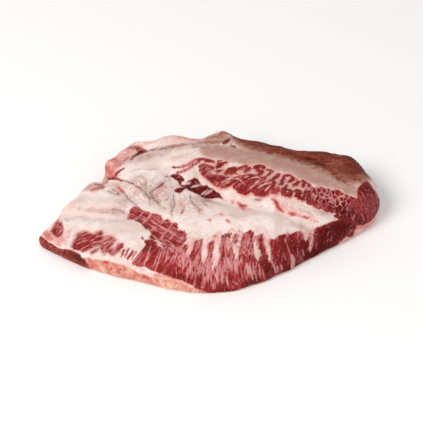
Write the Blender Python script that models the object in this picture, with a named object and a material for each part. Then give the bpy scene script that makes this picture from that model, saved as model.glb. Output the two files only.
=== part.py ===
"""A whole raw beef brisket, lying on its fat cap with the lean side up.

Metres, +Z up. +X runs along the piece towards its thick point end, +Y towards its back edge, and the
origin is under the middle of its box, on the surface that it lies on. The meat is one solid: a cap of
quads over the top, rim rows that turn round its edge, and a coarser cap below. Its height is a plain
thickness with mounds, folds and furrows added to it.
"""

import math

import bmesh
import bpy
import numpy as np
from mathutils import Vector, noise

MM = 0.001
LENGTH = 460 * MM
WIDTH = 290 * MM
THICKNESS = 66 * MM

# The edge seen from above, counter-clockwise from the front left. A row holds x in half lengths, y in half
# widths, the width in mm over which the top rounds off there, and the share of the height that this takes.
FRONT_EDGE = (
    (-0.66, -0.655, 7, 0.30),
    (-0.50, -0.745, 8, 0.32),
    (-0.37, -0.822, 12, 0.45),
    (-0.22, -0.892, 30, 0.70),
    (-0.05, -0.93, 48, 0.84),
    (0.10, -0.92, 56, 0.86),
    (0.25, -0.84, 58, 0.86),
    (0.41, -0.70, 56, 0.86),
)
RIGHT_END = (
    (0.53, -0.57, 52, 0.84),
    (0.64, -0.44, 46, 0.80),
    (0.76, -0.32, 40, 0.74),
    (0.86, -0.20, 36, 0.66),
    (0.94, -0.11, 34, 0.62),
    (0.99, 0.02, 34, 0.60),
    (1.00, 0.15, 34, 0.60),
    (0.99, 0.29, 34, 0.60),
    (0.945, 0.43, 36, 0.60),
)
BACK_EDGE = (
    (0.885, 0.56, 42, 0.66),
    (0.79, 0.655, 46, 0.70),
    (0.63, 0.665, 46, 0.70),
    (0.47, 0.755, 46, 0.68),
    (0.32, 0.85, 42, 0.64),
    (0.19, 0.895, 36, 0.56),
    (0.09, 0.96, 24, 0.50),
    (0.00, 0.88, 26, 0.50),
    (-0.10, 0.86, 24, 0.50),
    (-0.24, 0.92, 20, 0.48),
    (-0.36, 0.84, 18, 0.48),
)
LEFT_EDGE = (
    (-0.47, 0.84, 16, 0.50),
    (-0.57, 0.72, 14, 0.54),
    (-0.63, 0.62, 12, 0.56),
    (-0.615, 0.555, 9, 0.56),
    (-0.575, 0.49, 8, 0.56),
    (-0.68, 0.41, 14, 0.60),
    (-0.78, 0.23, 16, 0.60),
    (-0.87, 0.00, 15, 0.58),
    (-0.92, -0.17, 13, 0.55),
    (-0.945, -0.25, 9, 0.50),
    (-0.945, -0.34, 7, 0.42),
    (-0.86, -0.455, 6, 0.36),
    (-0.765, -0.55, 6, 0.32),
)
EDGE_COLUMNS = 60
END_COLUMNS = 50

# How the thickness grows along the piece: x in half lengths, thickness in shares of THICKNESS.
THICKNESS_ALONG = (
    (-1.00, 0.26),
    (-0.80, 0.36),
    (-0.60, 0.50),
    (-0.38, 0.68),
    (-0.10, 0.86),
    (0.20, 0.95),
    (0.50, 0.97),
    (0.80, 0.92),
    (1.00, 0.80),
)

# Mounds on the top: centre x and y, half length, half width, turn in degrees and height, in mm.
MOUNDS = {
    "fat over the left lobe": (-150, -24, 55, 24, -12, 3.5),
    "thick fat in the middle": (58, -72, 82, 18, -6, 5.0),
    "back fat cushion": (70, 48, 95, 18, -22, 3.0),
    "upper lobe": (-84, 66, 50, 34, 18, 5.0),
    "swell of the grained muscle": (92, -9, 90, 20, -24, 5.0),
    "round end muscle": (204, -22, 30, 26, 70, 8.0),
    "back shoulder": (150, 60, 40, 24, -10, -4.0),
    "front belly": (25, -102, 90, 20, 4, 3.0),
    "dip of the left muscle": (-153, -80, 34, 13, -20, -2.2),
}

# Furrows and rolls along a path: points in mm, half width and height in mm, below zero for a furrow.
FURROWS = {
    "hollow in the left fat": (((-190, -8), (-150, -19), (-114, -28)), 10, -6.5),
    "roll above the hollow": (((-180, 8), (-150, 3), (-116, -8)), 10, 3.5),
    "slit under the back rim": (((-131, 58), (-119, 73), (-107, 88), (-88, 102)), 6, -8.0),
    "groove along the back rim": (((-88, 102), (-42, 103), (-6, 108)), 7, -5.0),
    "roll of the back rim": (((-104, 112), (-48, 122), (-2, 120)), 9, 3.5),
    "furrow between the muscles": (((-2, -14), (52, -36), (119, -56), (152, -67)), 11, -4.0),
    "seam beside the end muscle": (((189, 10), (185, -29), (188, -58)), 7, -4.5),
    "cut pocket in the fat": (((-50, 37), (-20, 8), (11, -16)), 9, -4.0),
    "first pleat": (((-64, 6), (-58, -24)), 6, -2.4),
    "second pleat": (((-43, -2), (-39, -32)), 6, -2.4),
    "edge of the front cut": (((-112, -26), (-83, -50), (-60, -72)), 8, -3.0),
    "crease of the lower lobe": (((-128, 38), (-104, 12), (-84, -6)), 7, -2.5),
    "crest of the dry back edge": (((20, 108), (80, 84), (140, 70)), 12, 3.0),
}

# Where one layer lies over another: path in mm with the upper layer on its left, softness of the step, its
# height, and how far the upper layer stays raised, all in mm. The last says if the step fades along the path.
STEPS = {
    "upper lobe over the lower": (
        ((-150, 70), (-134, 56), (-120, 46), (-103, 31), (-92, 12)), 5, 11.0, 45, True),
    "grained muscle over the fat": (
        ((-18, 46), (-9, 16), (14, -5), (45, -18), (70, -18), (99, -38), (132, -52), (159, -68)),
        4, 4.5, 34, False),
    "end muscle over the fat nub": (((196, -60), (212, -42), (226, -18)), 4, 3.0, 24, False),
}

# Bundles of muscle and grains that show as relief: path in mm, half width of the patch, pitch and depth.
BUNDLE_PATH = ((-83, -88), (-16, -122), (65, -117), (132, -95), (173, -75))
BUNDLE_REACH = 30
BUNDLE_PITCH = 15
BUNDLE_LEAN = 0.45
BUNDLE_DEPTH = 1.5
GRAIN_PATH = ((4, 26), (90, -10), (176, -48))
GRAIN_REACH = 22
GRAIN_PITCH = 17
GRAIN_DEPTH = 1.5

UNEVEN_SPAN = 62 * MM
UNEVEN_HEIGHT = 4.5 * MM
LUMP_SPAN = 19 * MM
LUMP_HEIGHT = 1.5 * MM
EDGE_WAVE_SPAN = 34 * MM
EDGE_WAVE = 2.2 * MM
WALL_LUMP_SPAN = 21 * MM
WALL_LUMP = 2.4 * MM

TOP_ARC = (90, 68, 46, 24, 4)
BOTTOM_ARC = (0, 34, 66, 90)
BOTTOM_ROUND = 11 * MM
BOTTOM_ARC_SHARE = 0.38
UNDER_INSET = 0.965
SPREAD_ROUNDS = 900
MUSCLE_RED = (0.36, 0.035, 0.04, 1.0)


def smooth_closed(points, steps):
    """Points on a closed curve through the given rows, with this many steps after each row."""
    rows = np.array(points, float)
    before, after, later = np.roll(rows, 1, 0), np.roll(rows, -1, 0), np.roll(rows, -2, 0)
    made = []
    for t in np.arange(steps) / steps:
        made.append(
            0.5
            * (
                2 * rows
                + (after - before) * t
                + (2 * before - 5 * rows + 4 * after - later) * t**2
                + (3 * rows - before - 3 * after + later) * t**3
            )
        )
    return np.stack(made, 1).reshape(-1, rows.shape[1])


def spaced(run, count):
    """This many rows along a run of points, evenly spaced in plan, without the last."""
    reach = np.concatenate([[0], np.cumsum(np.hypot(*np.diff(run[:, :2], axis=0).T))])
    wanted = np.arange(count) / count * reach[-1]
    return np.stack([np.interp(wanted, reach, column) for column in run.T], 1)


def edge_columns():
    """The columns round the edge: x, y, width of the rounding in metres, and its share of the height."""
    runs = (FRONT_EDGE, RIGHT_END, BACK_EDGE, LEFT_EDGE)
    counts = (EDGE_COLUMNS, END_COLUMNS, EDGE_COLUMNS, END_COLUMNS)
    steps = 12
    curve = smooth_closed([row for run in runs for row in run], steps)
    curve *= (LENGTH / 2, WIDTH / 2, MM, 1)
    curve = np.vstack([curve, curve[:1]])
    made, start = [], 0
    for run, count in zip(runs, counts):
        end = start + len(run) * steps
        made.append(spaced(curve[start : end + 1], count))
        start = end
    columns = np.vstack(made)
    for column in columns:
        place = Vector((column[0], column[1], 0)) / EDGE_WAVE_SPAN
        reach = math.hypot(column[0], column[1])
        column[:2] *= 1 + EDGE_WAVE * noise.noise(place) / reach
    return columns


def path_distance(x, y, path):
    """Distance from a path in metres, and the side of it that each place is on: 1 is left of its run."""
    points = np.array(path, float) * MM
    nearest = np.full(x.shape, np.inf)
    side = np.zeros(x.shape)
    for (ax, ay), (bx, by) in zip(points[:-1], points[1:]):
        dx, dy = bx - ax, by - ay
        along = np.clip(((x - ax) * dx + (y - ay) * dy) / (dx * dx + dy * dy), 0, 1)
        away = np.hypot(x - ax - along * dx, y - ay - along * dy)
        closer = away < nearest
        nearest = np.where(closer, away, nearest)
        side = np.where(closer, dx * (y - ay) - dy * (x - ax), side)
    return nearest, np.sign(side)


def layer_step(x, y, path, softness, rise, reach, fades):
    """Height of one layer over another along a path, which dies away behind the edge."""
    distance, side = path_distance(x, y, path)
    signed = distance * side / MM
    height = rise * MM * (0.5 + 0.5 * np.tanh(signed / softness)) * np.exp(-((signed / reach) ** 2))
    if not fades:
        ends = np.minimum(
            np.hypot(x - path[0][0] * MM, y - path[0][1] * MM),
            np.hypot(x - path[-1][0] * MM, y - path[-1][1] * MM),
        )
        return height * np.clip(ends / (reach * MM), 0, 1)
    (start_x, start_y), (end_x, end_y) = path[0], path[-1]
    whole = math.hypot(end_x - start_x, end_y - start_y) * MM
    gone = np.hypot(x - start_x * MM, y - start_y * MM) / whole
    return height * np.clip(1.3 - gone, 0, 1)


def bundle_relief(x, y):
    """Ribs of the muscle bundles that run down over the front edge."""
    distance, _ = path_distance(x, y, BUNDLE_PATH)
    across = (x + BUNDLE_LEAN * y) / (BUNDLE_PITCH * MM)
    wobble = 1.4 * np.sin(x / (31 * MM)) + 0.8 * np.sin(y / (17 * MM))
    ribs = np.abs(np.sin(math.pi * across + wobble)) - 0.6
    return BUNDLE_DEPTH * MM * ribs * np.exp(-((distance / (BUNDLE_REACH * MM)) ** 4))


def grain_relief(x, y):
    """Knobs of the coarse grain of the point muscle."""
    distance, _ = path_distance(x, y, GRAIN_PATH)
    u = (x + 0.5 * y) / (GRAIN_PITCH * MM)
    v = (y - 0.4 * x) / (GRAIN_PITCH * MM)
    knobs = np.sin(math.pi * u + 0.9 * np.sin(2.3 * v)) * np.sin(math.pi * v + 0.9 * np.sin(1.7 * u))
    return GRAIN_DEPTH * MM * np.abs(knobs) * np.exp(-((distance / (GRAIN_REACH * MM)) ** 4))


def top_height(x, y):
    """Height of the top surface in metres at arrays of places in plan."""
    shares = np.array(THICKNESS_ALONG)
    height = THICKNESS * np.interp(x / (LENGTH / 2), shares[:, 0], shares[:, 1])
    for mound_x, mound_y, half_length, half_width, turn, rise in MOUNDS.values():
        c, s = math.cos(math.radians(turn)), math.sin(math.radians(turn))
        u = ((x - mound_x * MM) * c + (y - mound_y * MM) * s) / (half_length * MM)
        v = ((y - mound_y * MM) * c - (x - mound_x * MM) * s) / (half_width * MM)
        height = height + rise * MM * np.exp(-(u * u + v * v))
    for path, half_width, rise in FURROWS.values():
        distance, _ = path_distance(x, y, path)
        height = height + rise * MM * np.exp(-((distance / (half_width * MM)) ** 2))
    for step in STEPS.values():
        height = height + layer_step(x, y, *step)
    return height + bundle_relief(x, y) + grain_relief(x, y)


def unevenness(x, y):
    """The soft lumps that no two briskets share, as a height in metres at one place."""
    wide = noise.noise(Vector((x, y, 0.11)) / UNEVEN_SPAN) * UNEVEN_HEIGHT
    small = noise.noise(Vector((x, y, 0.37)) / LUMP_SPAN) * LUMP_HEIGHT
    return wide + small


def spread_grid(border, across, deep):
    """A grid of places inside a closed border of 2 * (across + deep) places, spread evenly by averaging."""
    grid = np.zeros((across + 1, deep + 1, 2))
    grid[:-1, 0] = border[:across]
    grid[-1, :-1] = border[across : across + deep]
    grid[:0:-1, -1] = border[across + deep : 2 * across + deep]
    grid[0, :0:-1] = border[2 * across + deep :]
    u = np.linspace(0, 1, across + 1)[:, None, None]
    v = np.linspace(0, 1, deep + 1)[None, :, None]
    sides = (1 - u) * grid[:1] + u * grid[-1:] + (1 - v) * grid[:, :1] + v * grid[:, -1:]
    corners = (
        (1 - u) * (1 - v) * grid[0, 0]
        + u * (1 - v) * grid[-1, 0]
        + u * v * grid[-1, -1]
        + (1 - u) * v * grid[0, -1]
    )
    grid[1:-1, 1:-1] = (sides - corners)[1:-1, 1:-1]
    for _ in range(SPREAD_ROUNDS):
        grid[1:-1, 1:-1] = (grid[:-2, 1:-1] + grid[2:, 1:-1] + grid[1:-1, :-2] + grid[1:-1, 2:]) / 4
    return grid


def add_cap(mesh, grid, heights, border, across, deep, faces_up):
    """Fills a closed border of vertices with a grid of quads."""
    vertices = [[None] * (deep + 1) for _ in range(across + 1)]
    for i in range(across):
        vertices[i][0] = border[i]
        vertices[across - i][deep] = border[across + deep + i]
    for j in range(deep):
        vertices[across][j] = border[across + j]
        vertices[0][deep - j] = border[2 * across + deep + j]
    for i in range(1, across):
        for j in range(1, deep):
            vertices[i][j] = mesh.verts.new((*grid[i, j], heights[i, j]))
    for i in range(across):
        for j in range(deep):
            face = [vertices[i][j], vertices[i + 1][j], vertices[i + 1][j + 1], vertices[i][j + 1]]
            mesh.faces.new(face if faces_up else face[::-1])


def add_ring(mesh, places, heights):
    """One closed row of vertices round the rim."""
    return [mesh.verts.new((x, y, z)) for (x, y), z in zip(places, heights)]


def bridge(mesh, upper, lower):
    """Quads between two rows of the rim."""
    count = len(upper)
    for i in range(count):
        after = (i + 1) % count
        mesh.faces.new([upper[i], lower[i], lower[after], upper[after]])


def inset(places, width):
    """The same columns, moved by this width towards the middle of the piece."""
    reach = np.hypot(places[:, 0], places[:, 1])
    return places * (1 - width / reach)[:, None]


def lumpy_wall(places, heights, steepness):
    """The same columns, moved in and out by the lumps of the cut edge where it stands steep."""
    lumps = np.array([noise.noise(Vector((x, y, z)) / WALL_LUMP_SPAN) for (x, y), z in zip(places, heights)])
    return inset(places, WALL_LUMP * steepness * lumps)


def rim_rows(columns):
    """The rows of the rim, each as places and heights, from the edge of the top cap to the flat underneath."""
    outer, rounding, share = columns[:, :2], columns[:, 2], columns[:, 3]
    shoulder = inset(outer, rounding)
    full = top_height(*shoulder.T) + [unevenness(x, y) for x, y in shoulder]
    wall_top = full * (1 - share)
    rows = []
    for angle in TOP_ARC:
        turn = math.radians(angle)
        places = inset(outer, rounding * (1 - math.cos(turn)))
        top = top_height(*places.T) + [unevenness(x, y) for x, y in places]
        heights = wall_top + (top - wall_top) * math.sin(turn)
        rows.append((lumpy_wall(places, heights, math.cos(turn)), heights))
    foot = wall_top * BOTTOM_ARC_SHARE
    for angle in BOTTOM_ARC:
        turn = math.radians(angle)
        places = inset(outer, BOTTOM_ROUND * (1 - math.cos(turn)))
        heights = foot * (1 - math.sin(turn))
        rows.append((lumpy_wall(places, heights, math.cos(turn)), heights))
    return rows


def build_brisket(mesh):
    """The whole piece in a bmesh."""
    rows = rim_rows(edge_columns())
    rings = [add_ring(mesh, places, heights) for places, heights in rows]
    for upper, lower in zip(rings[:-1], rings[1:]):
        bridge(mesh, upper, lower)

    grid = spread_grid(rows[0][0], EDGE_COLUMNS, END_COLUMNS)
    heights = top_height(grid[:, :, 0], grid[:, :, 1])
    for i in range(heights.shape[0]):
        for j in range(heights.shape[1]):
            heights[i, j] += unevenness(*grid[i, j])
    add_cap(mesh, grid, heights, rings[0], EDGE_COLUMNS, END_COLUMNS, True)

    under = rows[-1][0][::2] * UNDER_INSET
    ring = add_ring(mesh, under, np.zeros(len(under)))
    last = rings[-1]
    for i in range(len(ring)):
        outer = [last[2 * i], last[2 * i + 1], last[(2 * i + 2) % len(last)]]
        mesh.faces.new([ring[(i + 1) % len(ring)], *outer[::-1], ring[i]])
    across, deep = EDGE_COLUMNS // 2, END_COLUMNS // 2
    flat = spread_grid(under, across, deep)
    add_cap(mesh, flat, np.zeros(flat.shape[:2]), ring, across, deep, False)


def centre_on_floor(data):
    """Moves a mesh so that its box stands on the origin."""
    places = np.array([v.co for v in data.vertices])
    low, high = places.min(0), places.max(0)
    middle = (low + high) / 2
    for vertex in data.vertices:
        vertex.co -= Vector((middle[0], middle[1], low[2]))


def meat_material():
    """Moist red meat."""
    material = bpy.data.materials.new("raw_meat")
    material.use_nodes = True
    shader = material.node_tree.nodes["Principled BSDF"]
    shader.inputs["Base Color"].default_value = MUSCLE_RED
    shader.inputs["Roughness"].default_value = 0.42
    shader.inputs["Metallic"].default_value = 0.0
    material.diffuse_color = MUSCLE_RED
    return material


def main():
    for old in list(bpy.data.objects):
        bpy.data.objects.remove(old)
    mesh = bmesh.new()
    build_brisket(mesh)
    data = bpy.data.meshes.new("brisket")
    mesh.to_mesh(data)
    mesh.free()
    centre_on_floor(data)
    data.shade_smooth()
    data.materials.append(meat_material())
    brisket = bpy.data.objects.new("brisket", data)
    bpy.context.scene.collection.objects.link(brisket)


main()
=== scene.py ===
import bpy, math
import numpy as np
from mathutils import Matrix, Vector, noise
from mathutils.kdtree import KDTree


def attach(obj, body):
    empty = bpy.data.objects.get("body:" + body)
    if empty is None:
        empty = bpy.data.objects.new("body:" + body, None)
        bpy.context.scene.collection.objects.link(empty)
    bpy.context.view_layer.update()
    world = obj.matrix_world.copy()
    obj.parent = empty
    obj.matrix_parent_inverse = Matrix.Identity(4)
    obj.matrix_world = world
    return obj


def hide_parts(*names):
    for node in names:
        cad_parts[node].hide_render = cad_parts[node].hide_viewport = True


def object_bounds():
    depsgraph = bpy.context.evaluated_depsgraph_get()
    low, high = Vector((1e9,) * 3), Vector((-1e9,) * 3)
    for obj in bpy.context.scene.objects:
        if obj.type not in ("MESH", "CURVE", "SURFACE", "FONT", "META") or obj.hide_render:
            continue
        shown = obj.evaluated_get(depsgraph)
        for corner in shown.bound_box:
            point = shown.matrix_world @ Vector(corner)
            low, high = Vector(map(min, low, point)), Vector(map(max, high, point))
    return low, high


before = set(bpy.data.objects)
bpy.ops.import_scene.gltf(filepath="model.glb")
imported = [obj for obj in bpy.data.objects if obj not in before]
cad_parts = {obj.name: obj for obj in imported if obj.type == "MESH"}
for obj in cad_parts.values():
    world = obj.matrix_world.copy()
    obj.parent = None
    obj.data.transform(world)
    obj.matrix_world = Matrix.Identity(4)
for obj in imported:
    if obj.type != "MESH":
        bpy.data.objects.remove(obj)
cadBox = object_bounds()

photoView = {
    "side": 423,              # pixels of the photograph's frame
    "origin": (211.6, 221.0), # where the middle of the brisket's foot sits in it
    "elevation": 42.0,        # degrees above the table
    "distance": 1.5,          # metres
    "mmPerPixel": 1.345,      # at the origin's distance
    "sensor": 36.0,           # mm
}
studio = {
    "keyPlace": (-1.9, -1.57, 2.4), "keySize": 1.7, "keyPower": 76.0, "keyTint": (1.0, 0.985, 0.965),
    "fillPlace": (1.8, -2.4, 1.8), "fillSize": 2.4, "fillPower": 12.0, "fillTint": (0.97, 0.98, 1.0),
    "skyStrength": 0.58, "skyTint": (1.0, 0.995, 0.99),
    "floorTint": (0.985, 0.983, 0.98), "floorRoughness": 0.9, "floorSize": 7.0,
}

lookDown = math.radians(photoView["elevation"])
viewRight = np.array((1.0, 0.0, 0.0))
viewUp = np.array((0.0, math.sin(lookDown), math.cos(lookDown)))
viewAhead = np.array((0.0, math.cos(lookDown), -math.sin(lookDown)))
metresPerPixel = photoView["mmPerPixel"] / 1000
focalPixels = photoView["distance"] / metresPerPixel
middlePixel = photoView["side"] / 2
cameraPlace = (
    -viewAhead * photoView["distance"]
    + viewUp * (photoView["origin"][1] - middlePixel) * metresPerPixel
    - viewRight * (photoView["origin"][0] - middlePixel) * metresPerPixel
)


def addCamera():
    data = bpy.data.cameras.new("photoCamera")
    data.sensor_width = photoView["sensor"]
    data.lens = focalPixels * photoView["sensor"] / photoView["side"]
    camera = bpy.data.objects.new("photoCamera", data)
    camera.location = cameraPlace
    camera.rotation_euler = (math.pi / 2 - lookDown, 0, 0)
    bpy.context.scene.collection.objects.link(camera)
    bpy.context.scene.camera = camera


def addSoftLight(name):
    data = bpy.data.lights.new(name + "Light", "AREA")
    data.shape = "DISK"
    data.size = studio[name + "Size"]
    data.energy = studio[name + "Power"]
    data.color = studio[name + "Tint"]
    light = bpy.data.objects.new(name + "Light", data)
    light.location = studio[name + "Place"]
    light.rotation_euler = (-light.location).to_track_quat("-Z", "Y").to_euler()
    bpy.context.scene.collection.objects.link(light)


def addStudio():
    addSoftLight("key")
    addSoftLight("fill")
    world = bpy.data.worlds.new("paleStudio")
    world.use_nodes = True
    sky = world.node_tree.nodes["Background"]
    sky.inputs["Color"].default_value = (*studio["skyTint"], 1)
    sky.inputs["Strength"].default_value = studio["skyStrength"]
    bpy.context.scene.world = world
    bpy.context.scene.view_settings.view_transform = "Standard"

    bpy.ops.object.select_all(action="DESELECT")
    bpy.ops.mesh.primitive_plane_add(size=studio["floorSize"], location=(0, 0, 0))
    floor = bpy.context.active_object
    floor.name = "studioFloor"
    paint = bpy.data.materials.new("paleFloor")
    paint.use_nodes = True
    shader = paint.node_tree.nodes["Principled BSDF"]
    shader.inputs["Base Color"].default_value = (*studio["floorTint"], 1)
    shader.inputs["Roughness"].default_value = studio["floorRoughness"]
    floor.data.materials.append(paint)


addCamera()
addStudio()
print("camera, light and floor are in place")

# The marks below were read in pixels of the photograph's frame. An outline is a round of x, y.
leanOutlines = {  # where a muscle turns over an edge, its outline runs past that edge
    "grained": (
        (199, 166.4), (202, 166), (205, 167.4), (208, 169.6), (210.6, 172.6), (213, 174.4), (219, 174.6),
        (223.4, 175.2), (228, 176.4), (232, 177.6), (236, 176.6), (240, 175.2), (245, 174.6), (250, 173.8),
        (256, 174.8), (258, 176.8), (262, 176.6), (265.6, 176.2), (266.4, 178.6), (271, 178.8),
        (273, 180.6), (276, 181.6), (277.6, 184), (276.4, 187), (279, 186.4), (281, 188.2), (284.6, 186.6),
        (287.4, 189.2), (290.6, 188.8), (292.8, 191), (293, 195.4), (291, 197.6), (286, 197.6),
        (282, 195.8), (280, 192), (278.6, 194.4), (275.4, 195.8), (272, 194.8), (270.2, 192.6),
        (268.6, 195.8), (265, 197), (260, 197.2), (255.6, 196), (252.8, 193.8), (251, 192.6), (249.6, 194),
        (245.6, 195.4), (241, 194.4), (237.6, 192.4), (235, 189.8), (233.4, 187.8), (229.6, 187.2),
        (226.6, 188.6), (222, 188.8), (217, 187.4), (213, 185), (210, 182), (207, 179.6), (203.4, 177),
        (201, 174), (199.6, 171),
    ),
    "cells": (
        (310, 186.4), (312, 187.6), (316, 186.6), (320, 186.6), (324, 188), (328.6, 188.8), (331, 190.2),
        (336.6, 189.4), (340.6, 190.6), (343.6, 193.2), (346, 194.2), (350, 195.6), (355, 197.6),
        (358, 200), (357, 214), (345, 219), (339.6, 219.6), (334.6, 217.8), (332.8, 215.2), (336.6, 213.6),
        (333, 213.2), (328.6, 212.8), (325, 211.8), (322.6, 209.6), (318.6, 209.2), (315, 208.2),
        (313, 206), (309.6, 205.6), (306.8, 204.4), (305.8, 201.6), (306.6, 199), (309.6, 199.6),
        (311, 196), (310.8, 190),
    ),
    "end": (
        (357, 190), (358.6, 186.6), (361, 184.6), (363, 182.2), (366.5, 181.4), (368.4, 182),
        (370.8, 184.8), (374, 189.4), (377, 194.4), (378.8, 199), (379.2, 204), (378.6, 209.4),
        (376.8, 213.8), (374.4, 218), (371, 221.2), (368, 223.6), (363, 225), (358.6, 225.6), (354, 225.2),
        (350, 224), (344, 221), (338, 218.4), (342, 212), (350, 202), (357.2, 198),
    ),
    "plaid": (
        (128, 219.6), (127.6, 217), (129, 213.6), (130, 209.6), (132.6, 207), (136, 206.2), (140, 208.6),
        (145, 210.4), (149, 211.4), (152, 213.4), (156.6, 213.2), (159.6, 214.4), (162, 216.6),
        (163, 219.4), (167.4, 218.8), (170, 220.6), (172, 222.6), (176, 222.4), (177.4, 224.6),
        (178, 229.6), (182, 230.6), (184.8, 230.2), (185, 233), (187.4, 233.8), (188.8, 235.6),
        (188, 238.6), (186, 240.8), (184.6, 242.6), (182.4, 244.8), (180, 248), (178, 250), (170, 247),
        (163, 243), (158, 241), (155, 240), (150, 238.6), (149.4, 236.6), (151.6, 234.4), (150.6, 232.4),
        (148.6, 230.6), (146, 229.2), (143, 225.4), (140.6, 223), (137, 221.6), (133, 219.8),
    ),
    "front": (
        (144.4, 240.4), (148, 240), (152, 239), (158, 243), (168, 245), (178, 246), (186, 244), (190, 243),
        (194, 240.6), (197.4, 239.6), (204.6, 238), (208, 238.6), (214, 237), (218, 233.4), (223, 234.8),
        (226, 233.2), (230.6, 230.4), (233, 235), (239, 230.8), (244, 233.5), (250, 229.4), (254, 230.6),
        (258, 235.5), (262, 233.6), (265.4, 233.4), (268, 240), (273, 239), (279, 235.4), (283, 234.8),
        (287, 232.2), (290, 234.6), (295, 232), (301, 230.6), (304, 232), (309, 233), (314, 228),
        (318, 227), (325, 224.4), (333, 221), (339, 219.6), (345, 217), (352, 221), (357, 226),
        (354.8, 232), (352, 236.6), (349, 237.6), (346, 236.6), (342, 240.2), (338, 244.4), (333, 254),
        (318, 263), (300, 271), (280, 280), (254, 292), (228, 298), (205, 298), (200, 293), (196, 288.6),
        (190, 284.6), (183, 281), (175, 278.8), (168, 276.4), (160, 273.6), (153.9, 271.2), (149, 269.4),
        (145.6, 267.4), (143.2, 266.6), (140.6, 267.2), (137.4, 266.6), (135.8, 265.2), (133, 265.4),
        (132.2, 262.4), (136, 256.8), (139.6, 252.4), (142.6, 248.8), (145.2, 244.8),
    ),
    "cutHead": (
        (169.6, 176), (172, 174.2), (176, 173.4), (179, 174), (181.6, 176), (183.8, 178.6), (184.8, 181),
        (181.4, 182), (181.8, 185), (184.6, 185.2), (188, 186.8), (191.4, 189.4), (189.6, 190.2),
        (186, 187.8), (182, 187), (179.4, 184.6), (177.6, 181.4), (174.6, 179),
    ),
    "cut": (
        (184.6, 184.6), (187.4, 181.4), (190.6, 179.4), (194, 177.4), (197.6, 178.6), (199.8, 182),
        (201.6, 185), (204, 185.6), (206.6, 184), (208.4, 187), (213, 188.6), (216, 191.4), (219.4, 193.4),
        (221.6, 196.4), (225.4, 200.8), (219, 197.8), (214, 198.4), (208, 198.6), (203, 197.8),
        (200, 195.6), (197, 193.6), (193, 192.2), (189.4, 190.4), (185.6, 188.2), (183.4, 186.4),
    ),
    "cutNook": (
        (173.6, 190.4), (176, 188.6), (178.6, 187.4), (182.4, 187.2), (185.6, 186.4), (186, 188.4),
        (183.4, 190), (181.6, 192.2), (178.6, 193.2), (175.6, 192.2),
    ),
    "leftPatch": (
        (71, 247), (72.4, 242.4), (75, 238), (77, 234), (80, 231.6), (86, 231), (91, 233), (94, 233.8),
        (96, 231.4), (99, 230.2), (101.8, 230.8), (103.2, 233.2), (101.6, 236), (105, 235.4), (110, 235.4),
        (115, 237.2), (117.2, 239.6), (115, 241.8), (113, 243.4), (115, 244.6), (118, 243.4),
        (123.4, 243.4), (123.4, 247), (120, 250.6), (117.6, 253.2), (114.4, 255.8), (110.4, 255.2),
        (108, 252.2), (104, 254.8), (101.6, 251.8), (100.2, 248.6), (97, 246.4), (92, 248.4), (88, 250),
        (83.6, 252.6), (79, 251), (73.5, 250),
    ),
    "tipPatch": (
        (50.4, 230.8), (53, 226.6), (55, 223.4), (58, 220.4), (61.4, 222), (62.6, 225), (64, 228.6),
        (63.6, 232), (61.6, 235.6), (58.6, 237.4), (55.4, 236.4), (52.6, 234.2),
    ),
}
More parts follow.
